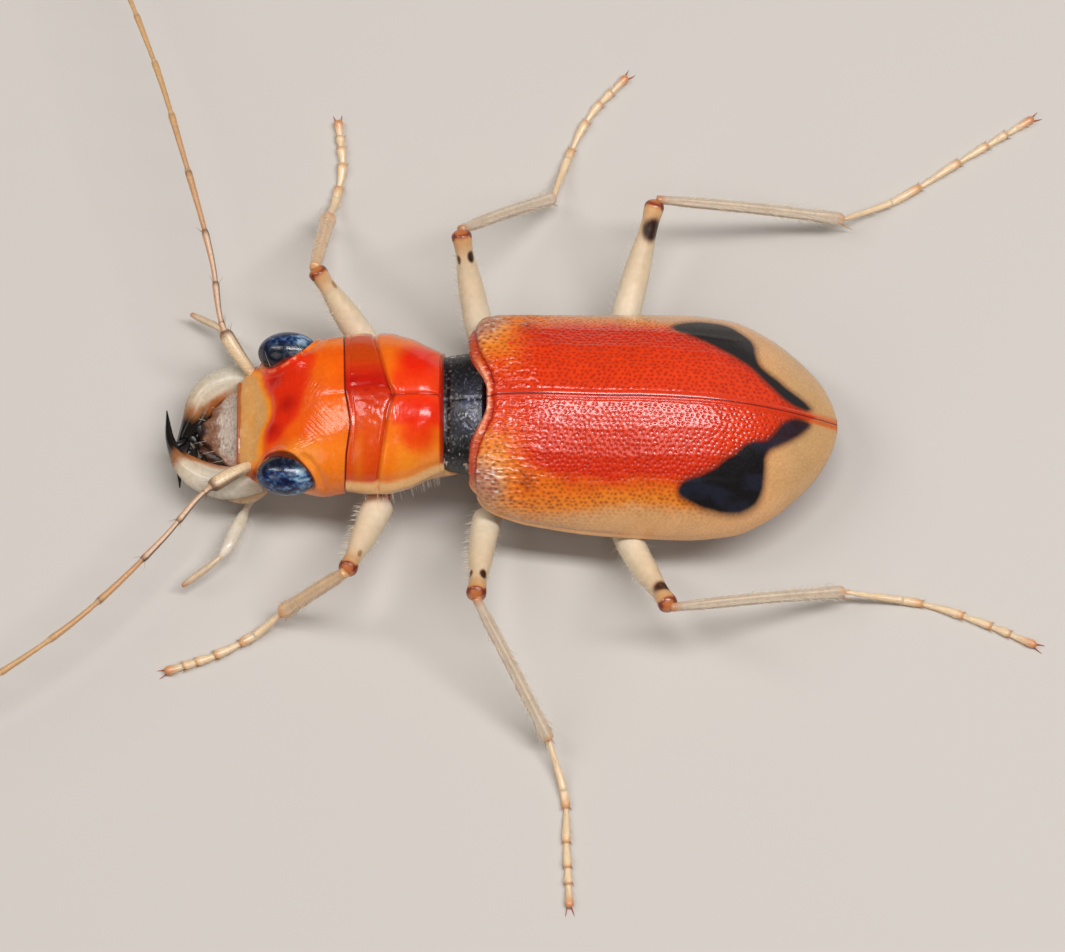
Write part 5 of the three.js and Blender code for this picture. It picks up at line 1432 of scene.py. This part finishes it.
JAWS = {
    "left": [[-7.3, -1.42, 1.5], [-8.3, -1.66, 1.44], [-9.0, -1.42, 1.38], [-9.48, -0.96, 1.3], [-9.74, -0.26, 1.2], [-9.86, 0.66, 1.12]],
    "right": [[-7.3, 1.36, 1.5], [-8.2, 1.5, 1.44], [-8.8, 1.2, 1.34], [-9.17, 0.5, 1.12], [-9.5, -0.3, 0.82], [-9.5, -1.36, 0.6]],
}


def make_jaw(name, line):
    path = catmull(line, 160)
    n = len(path)
    s = np.linspace(0, 1, n)
    wide = curve([[0, 0.36], [0.25, 0.45], [0.42, 0.42], [0.56, 0.31], [0.7, 0.17], [0.88, 0.08], [1, 0.015]])(s)
    inwards = np.array([0.25, 1.0 if name == "left" else -1.0, 0.0])
    path = path + inwards * (0.16 * smooth(0.0, 0.3, s) * smooth(0.85, 0.5, s))[:, None]
    tall = curve([[0, 0.36], [0.25, 0.36], [0.5, 0.28], [0.72, 0.16], [0.88, 0.085], [1, 0.015]])(s)
    pts, ang = tube(path, wide, tall, 44)
    A, S = np.broadcast_arrays(ang[None], s[:, None])
    # inner edge: towards the middle of the mouth
    inner_sign = 1.0 if name == "left" else -1.0
    inner = smooth(0.2, 0.95, np.sin(A) * inner_sign)
    n_ = outward(pts, True)
    ridge = 0.05 * bump(np.sin(A) * inner_sign, -0.25, 0.35) * (np.cos(A) > 0) * smooth(0.1, 0.4, S) * smooth(0.8, 0.6, S)
    hollow = -0.05 * bump(np.sin(A) * inner_sign, 0.5, 0.25) * (np.cos(A) > 0) * smooth(0.1, 0.3, S) * smooth(0.7, 0.5, S)
    pts = pts + n_ * (ridge + hollow + 0.004 * fbm(S * 14, A * 2, 133))[..., None]
    k = tint(A.shape, lin(196, 188, 170) if name == "right" else lin(204, 194, 176), 0.28)
    paint(k, lin(186, 172, 150), 0.5 * smooth(0.0, 0.5, fbm(S * 9, A * 1.4, 134)))
    reach = 0.62 if name == "left" else 0.5
    wav = 0.03 * fbm(S * 20, A * 2, 131)
    paint(k, lin(206, 180, 146), 0.5 * smooth(reach - 0.3, reach - 0.06, S) + 0.25 * inner)
    paint(k, lin(150, 92, 46), 0.95 * smooth(reach - 0.1, reach + 0.0, S + 0.16 * inner + wav))
    paint(k, lin(16, 13, 12), smooth(reach - 0.02, reach + 0.09, S + 0.14 * inner + wav), 0.14)
    paint(k, lin(158, 92, 44), 0.8 * smooth(0.35, 0.9, inner) * smooth(0.12, 0.3, S) * smooth(reach + 0.02, reach - 0.06, S))
    paint(k, lin(190, 150, 110), 0.4 * smooth(0.14, 0.0, S))
    sh = Shell("jaw_" + name)
    sh.add(pts, k, closed=True, cap0=True, cap1=True)
    # broad black teeth on the inner edge
    sy = 1 if name == "left" else -1
    for at, to, r0 in ((0.43, (0.12, 0.62, -0.14), 0.24), (0.54, (0.24, 0.58, -0.14), 0.22), (0.64, (0.32, 0.44, -0.12), 0.17), (0.72, (0.34, 0.28, -0.08), 0.12)):
        p = path[int(at * (n - 1))]
        q = p + np.array([to[0], sy * to[1], to[2]])
        tp = catmull([p, (p + q) / 2 + np.array([0.05, 0, 0.04]), q], 40)
        u = np.linspace(0, 1, 40)
        rr = r0 * (1 - u) ** 0.75 + 0.01
        tp_pts, ta = tube(tp, rr, rr * 0.85, 20)
        tk = tint(tp_pts.shape[:2], lin(12, 10, 9), 0.42)
        paint(tk, lin(110, 64, 34), 0.8 * smooth(0.62, 0.4, u)[:, None] * (1.0 if at < 0.4 else 0.0) + 0 * ta[None])
        sh.add(tp_pts, tk, closed=True, cap0=True, cap1=True)
    return sh.build(["mandible_" + name], "jaw", MAT["jaw"])


for nm, ln in JAWS.items():
    make_jaw(nm, ln)

PALPS = {
    "palp_maxillary_left": ([[-7.1, -1.25, 1.2], [-7.7, -1.62, 1.02], [-8.4, -1.56, 0.76], [-8.9, -1.2, 0.56], [-9.2, -0.78, 0.4]], [0.3, 0.34, 0.14, 0.11], [0.4, 0.62, 0.82]),
    "palp_maxillary_right": ([[-7.1, 1.25, 1.2], [-7.7, 1.62, 1.0], [-8.4, 1.5, 0.74], [-8.9, 1.08, 0.54], [-9.2, 0.58, 0.4]], [0.3, 0.34, 0.14, 0.11], [0.4, 0.62, 0.82]),
    "palp_labial_left": ([[-7.1, -0.7, 0.94], [-7.64, -1.84, 0.6], [-8.0, -2.68, 0.71], [-8.3, -3.3, 0.76], [-9.4, -4.16, 0.55]], [0.16, 0.13, 0.23, 0.1], [0.2, 0.33, 0.71]),
    "palp_labial_right": ([[-7.1, 0.7, 0.96], [-7.66, 1.8, 0.6], [-8.0, 2.5, 0.68], [-8.3, 3.05, 0.7], [-9.3, 3.7, 0.52]], [0.16, 0.13, 0.23, 0.1], [0.2, 0.33, 0.71]),
}
palp_no = 0
for nm, (line, radii, ends) in PALPS.items():
    path = catmull(line, 220)
    s = np.linspace(0, 1, 220)
    labial = "labial" in nm
    if labial:
        rad = curve([[0, 0.18], [0.27, 0.11], [0.33, 0.08], [0.39, 0.15], [0.48, 0.19], [0.6, 0.18], [0.68, 0.11], [0.71, 0.075], [0.74, 0.085], [0.9, 0.1], [1, 0.06]])(s)
    else:
        rad = curve([[0, 0.32], [0.2, 0.36], [0.36, 0.27], [0.44, 0.19], [0.46, 0.15], [0.5, 0.17], [0.62, 0.18], [0.66, 0.12], [0.69, 0.14], [0.82, 0.15], [0.85, 0.11], [0.88, 0.13], [0.96, 0.14], [1, 0.08]])(s)
    rad = rad * round_ends(220, 0.02, 0.02)
    pts, ang = tube(path, rad, rad * 0.95, 32)
    A, S = np.broadcast_arrays(ang[None], s[:, None])
    k = tint(A.shape, lin(212, 202, 184) if labial else lin(206, 170, 130), 0.3)
    paint(k, lin(190, 156, 112), 0.6 * smooth(0.66, 0.76, S) if labial else 0.55 * smooth(0.6, 0.7, S))
    for e in ends:
        paint(k, lin(176, 118, 70), (0.3 if labial else 0.55) * bump(S, e, 0.012))
    paint(k, lin(214, 176, 128), 0.5 * smooth(0.3, 0.0, S))
    paint(k, lin(182, 104, 50), 0.7 * smooth(0.93, 1.0, S))
    sh = Shell(nm.replace("palp_", "mouth_feeler_"))
    sh.add(pts, k, closed=True, cap0=True, cap1=True)
    sh.build([nm], "palp", MAT["limb"])
    kb = 46 if labial else 24
    sb = rng.uniform(0.38, 0.7, kb) if labial else rng.uniform(0.42, 0.98, kb)
    ab = rng.uniform(0, 2 * np.pi, kb)
    p, o, t = around_at(path, sb, ab, np.interp(sb, s, rad) * 0.96)
    bristles.add(p, o + 0.5 * t, rng.uniform(0.14, 0.3, kb) if labial else rng.uniform(0.08, 0.14, kb), 0.006, lin(236, 226, 204), np.stack([0.02 + 0.22 * sb + 0.24 * palp_no, 0.985 + 0.005 * np.sin(ab)], 1), bend=0.15 * t)
    palp_no += 1

# a few long feeling bristles on the brow, the thorax sides and round the belly
for sd in (-1, 1):
    for xb, yb, zb in ((-6.1, 1.3, 3.3), (-7.0, 1.25, 2.72)):
        bristles.add(np.array([[xb, sd * yb, zb]]), np.array([[-0.25, sd * 0.5, 0.85]]), 0.7, 0.009, lin(214, 190, 150), np.array([[0.4, 0.94]]), bend=np.array([[0, 0, -0.1]]))
    kb = 60
    xb = rng.uniform(-4.6, -2.5, kb)
    thb = -rng.uniform(0.15, 0.7, kb)
    p = PRO.at(xb[:, None], np.where(sd > 0, thb, np.pi - thb)[:, None])[:, 0]
    o = p - np.stack([xb, 0 * xb, 0 * xb + 2.6], 1)
    bristles.add(p - 0.02 * o, o, rng.uniform(0.2, 0.36, kb), 0.006, lin(240, 234, 220), np.stack([0.3 + 0.1 * (xb + 4.6), 0.955 + 0.0 * xb], 1), bend=np.array([[0.2, 0, -0.2]]) + 0 * p)
    kb = 90
    xb = rng.uniform(-0.9, 7.0, kb)
    thb = rng.uniform(0.15, 0.8, kb)
    w = elytra_width(xb)
    sidey = (w - np.minimum(0.26, 0.3 * w) - 0.04) * np.cos(thb) ** 0.9
    lz = elytra_rim(xb) - 0.08
    p = np.stack([xb, sd * sidey + lean(xb), lz - (lz - belly_bottom(xb)) * np.sin(thb) ** 0.9], 1)
    o = np.stack([0.5 + 0 * xb, sd * np.cos(thb), -np.sin(thb)], 1)
    bristles.add(p, o, rng.uniform(0.15, 0.3, kb), 0.006, lin(240, 234, 220), np.stack([0.3 + 0.08 * (xb + 0.9), 0.965 + 0 * xb], 1), bend=np.array([[0.3, 0, 0]]) + 0 * p)

bristles.build("shin", MAT["hair"])
spines.build("foot", MAT["jaw"])


# ------------------------------------------------------------------ floor, light, camera
def make_floor():
    me = bpy.data.meshes.new("floor")
    r = 0.6
    me.from_pydata([(-r, -r, 0), (r, -r, 0), (r, r, 0), (-r, r, 0)], [], [(0, 1, 2, 3)])
    ob = bpy.data.objects.new("floor", me)
    bpy.context.scene.collection.objects.link(ob)
    mat = bpy.data.materials.new("plain_floor")
    mat.use_nodes = True
    b = mat.node_tree.nodes["Principled BSDF"]
    b.inputs["Base Color"].default_value = (0.56, 0.53, 0.49, 1)
    b.inputs["Roughness"].default_value = 0.9
    me.materials.append(mat)


make_floor()


def area_light(name, at, target, size, watts, color=(1, 1, 1), size_y=None, turn=None):
    d = bpy.data.lights.new(name, "AREA")
    d.energy = watts
    d.color = color
    d.shape = "RECTANGLE"
    d.size = size
    d.size_y = size_y or size
    o = bpy.data.objects.new(name, d)
    o.location = at
    o.rotation_euler = (Vector(target) - Vector(at)).to_track_quat("-Z", "Y").to_euler() if turn is None else (0, 0, math.radians(turn))
    bpy.context.scene.collection.objects.link(o)
    return o


area_light("key", (0.06, -0.005, 0.16), (0.0, 0.0, 0.0), 0.16, 0.255, (1.0, 0.98, 0.99), 0.03, -8)
area_light("key_low", (0.03, -0.078, 0.16), (0.0, 0.0, 0.0), 0.08, 0.035, (1.0, 0.98, 0.97), 0.045, 0)
area_light("key_front", (-0.14, 0.04, 0.16), (0.0, 0.0, 0.0), 0.17, 0.14, (1.0, 0.98, 0.97), 0.034, -22)
area_light("fill", (-0.12, -0.11, 0.12), (0, 0, 0), 0.1, 0.04, (1.0, 0.95, 0.88))
area_light("back", (0.11, 0.13, 0.09), (0, 0, 0), 0.16, 0.012, (1.0, 0.9, 0.8))

world = bpy.data.worlds.new("studio")
bpy.context.scene.world = world
world.use_nodes = True
world.node_tree.nodes["Background"].inputs[0].default_value = (1.0, 0.92, 0.82, 1)
world.node_tree.nodes["Background"].inputs[1].default_value = 0.12

cam = bpy.data.cameras.new("camera")
cam.lens = 240.2
cam.sensor_width = 36
cam.clip_start = 0.005
cam.clip_end = 5
cam_ob = bpy.data.objects.new("camera", cam)
cam_ob.location = (0.00262, -0.067564, 0.180542)
cam_ob.rotation_euler = (math.radians(20), 0, 0)
bpy.context.scene.collection.objects.link(cam_ob)
bpy.context.scene.camera = cam_ob
bpy.context.scene.view_settings.view_transform = "Standard"


bpy.context.view_layer.update()
print("triangles", sum(n for _, n in pieces), sorted(pieces, key=lambda p: -p[1])[:8])
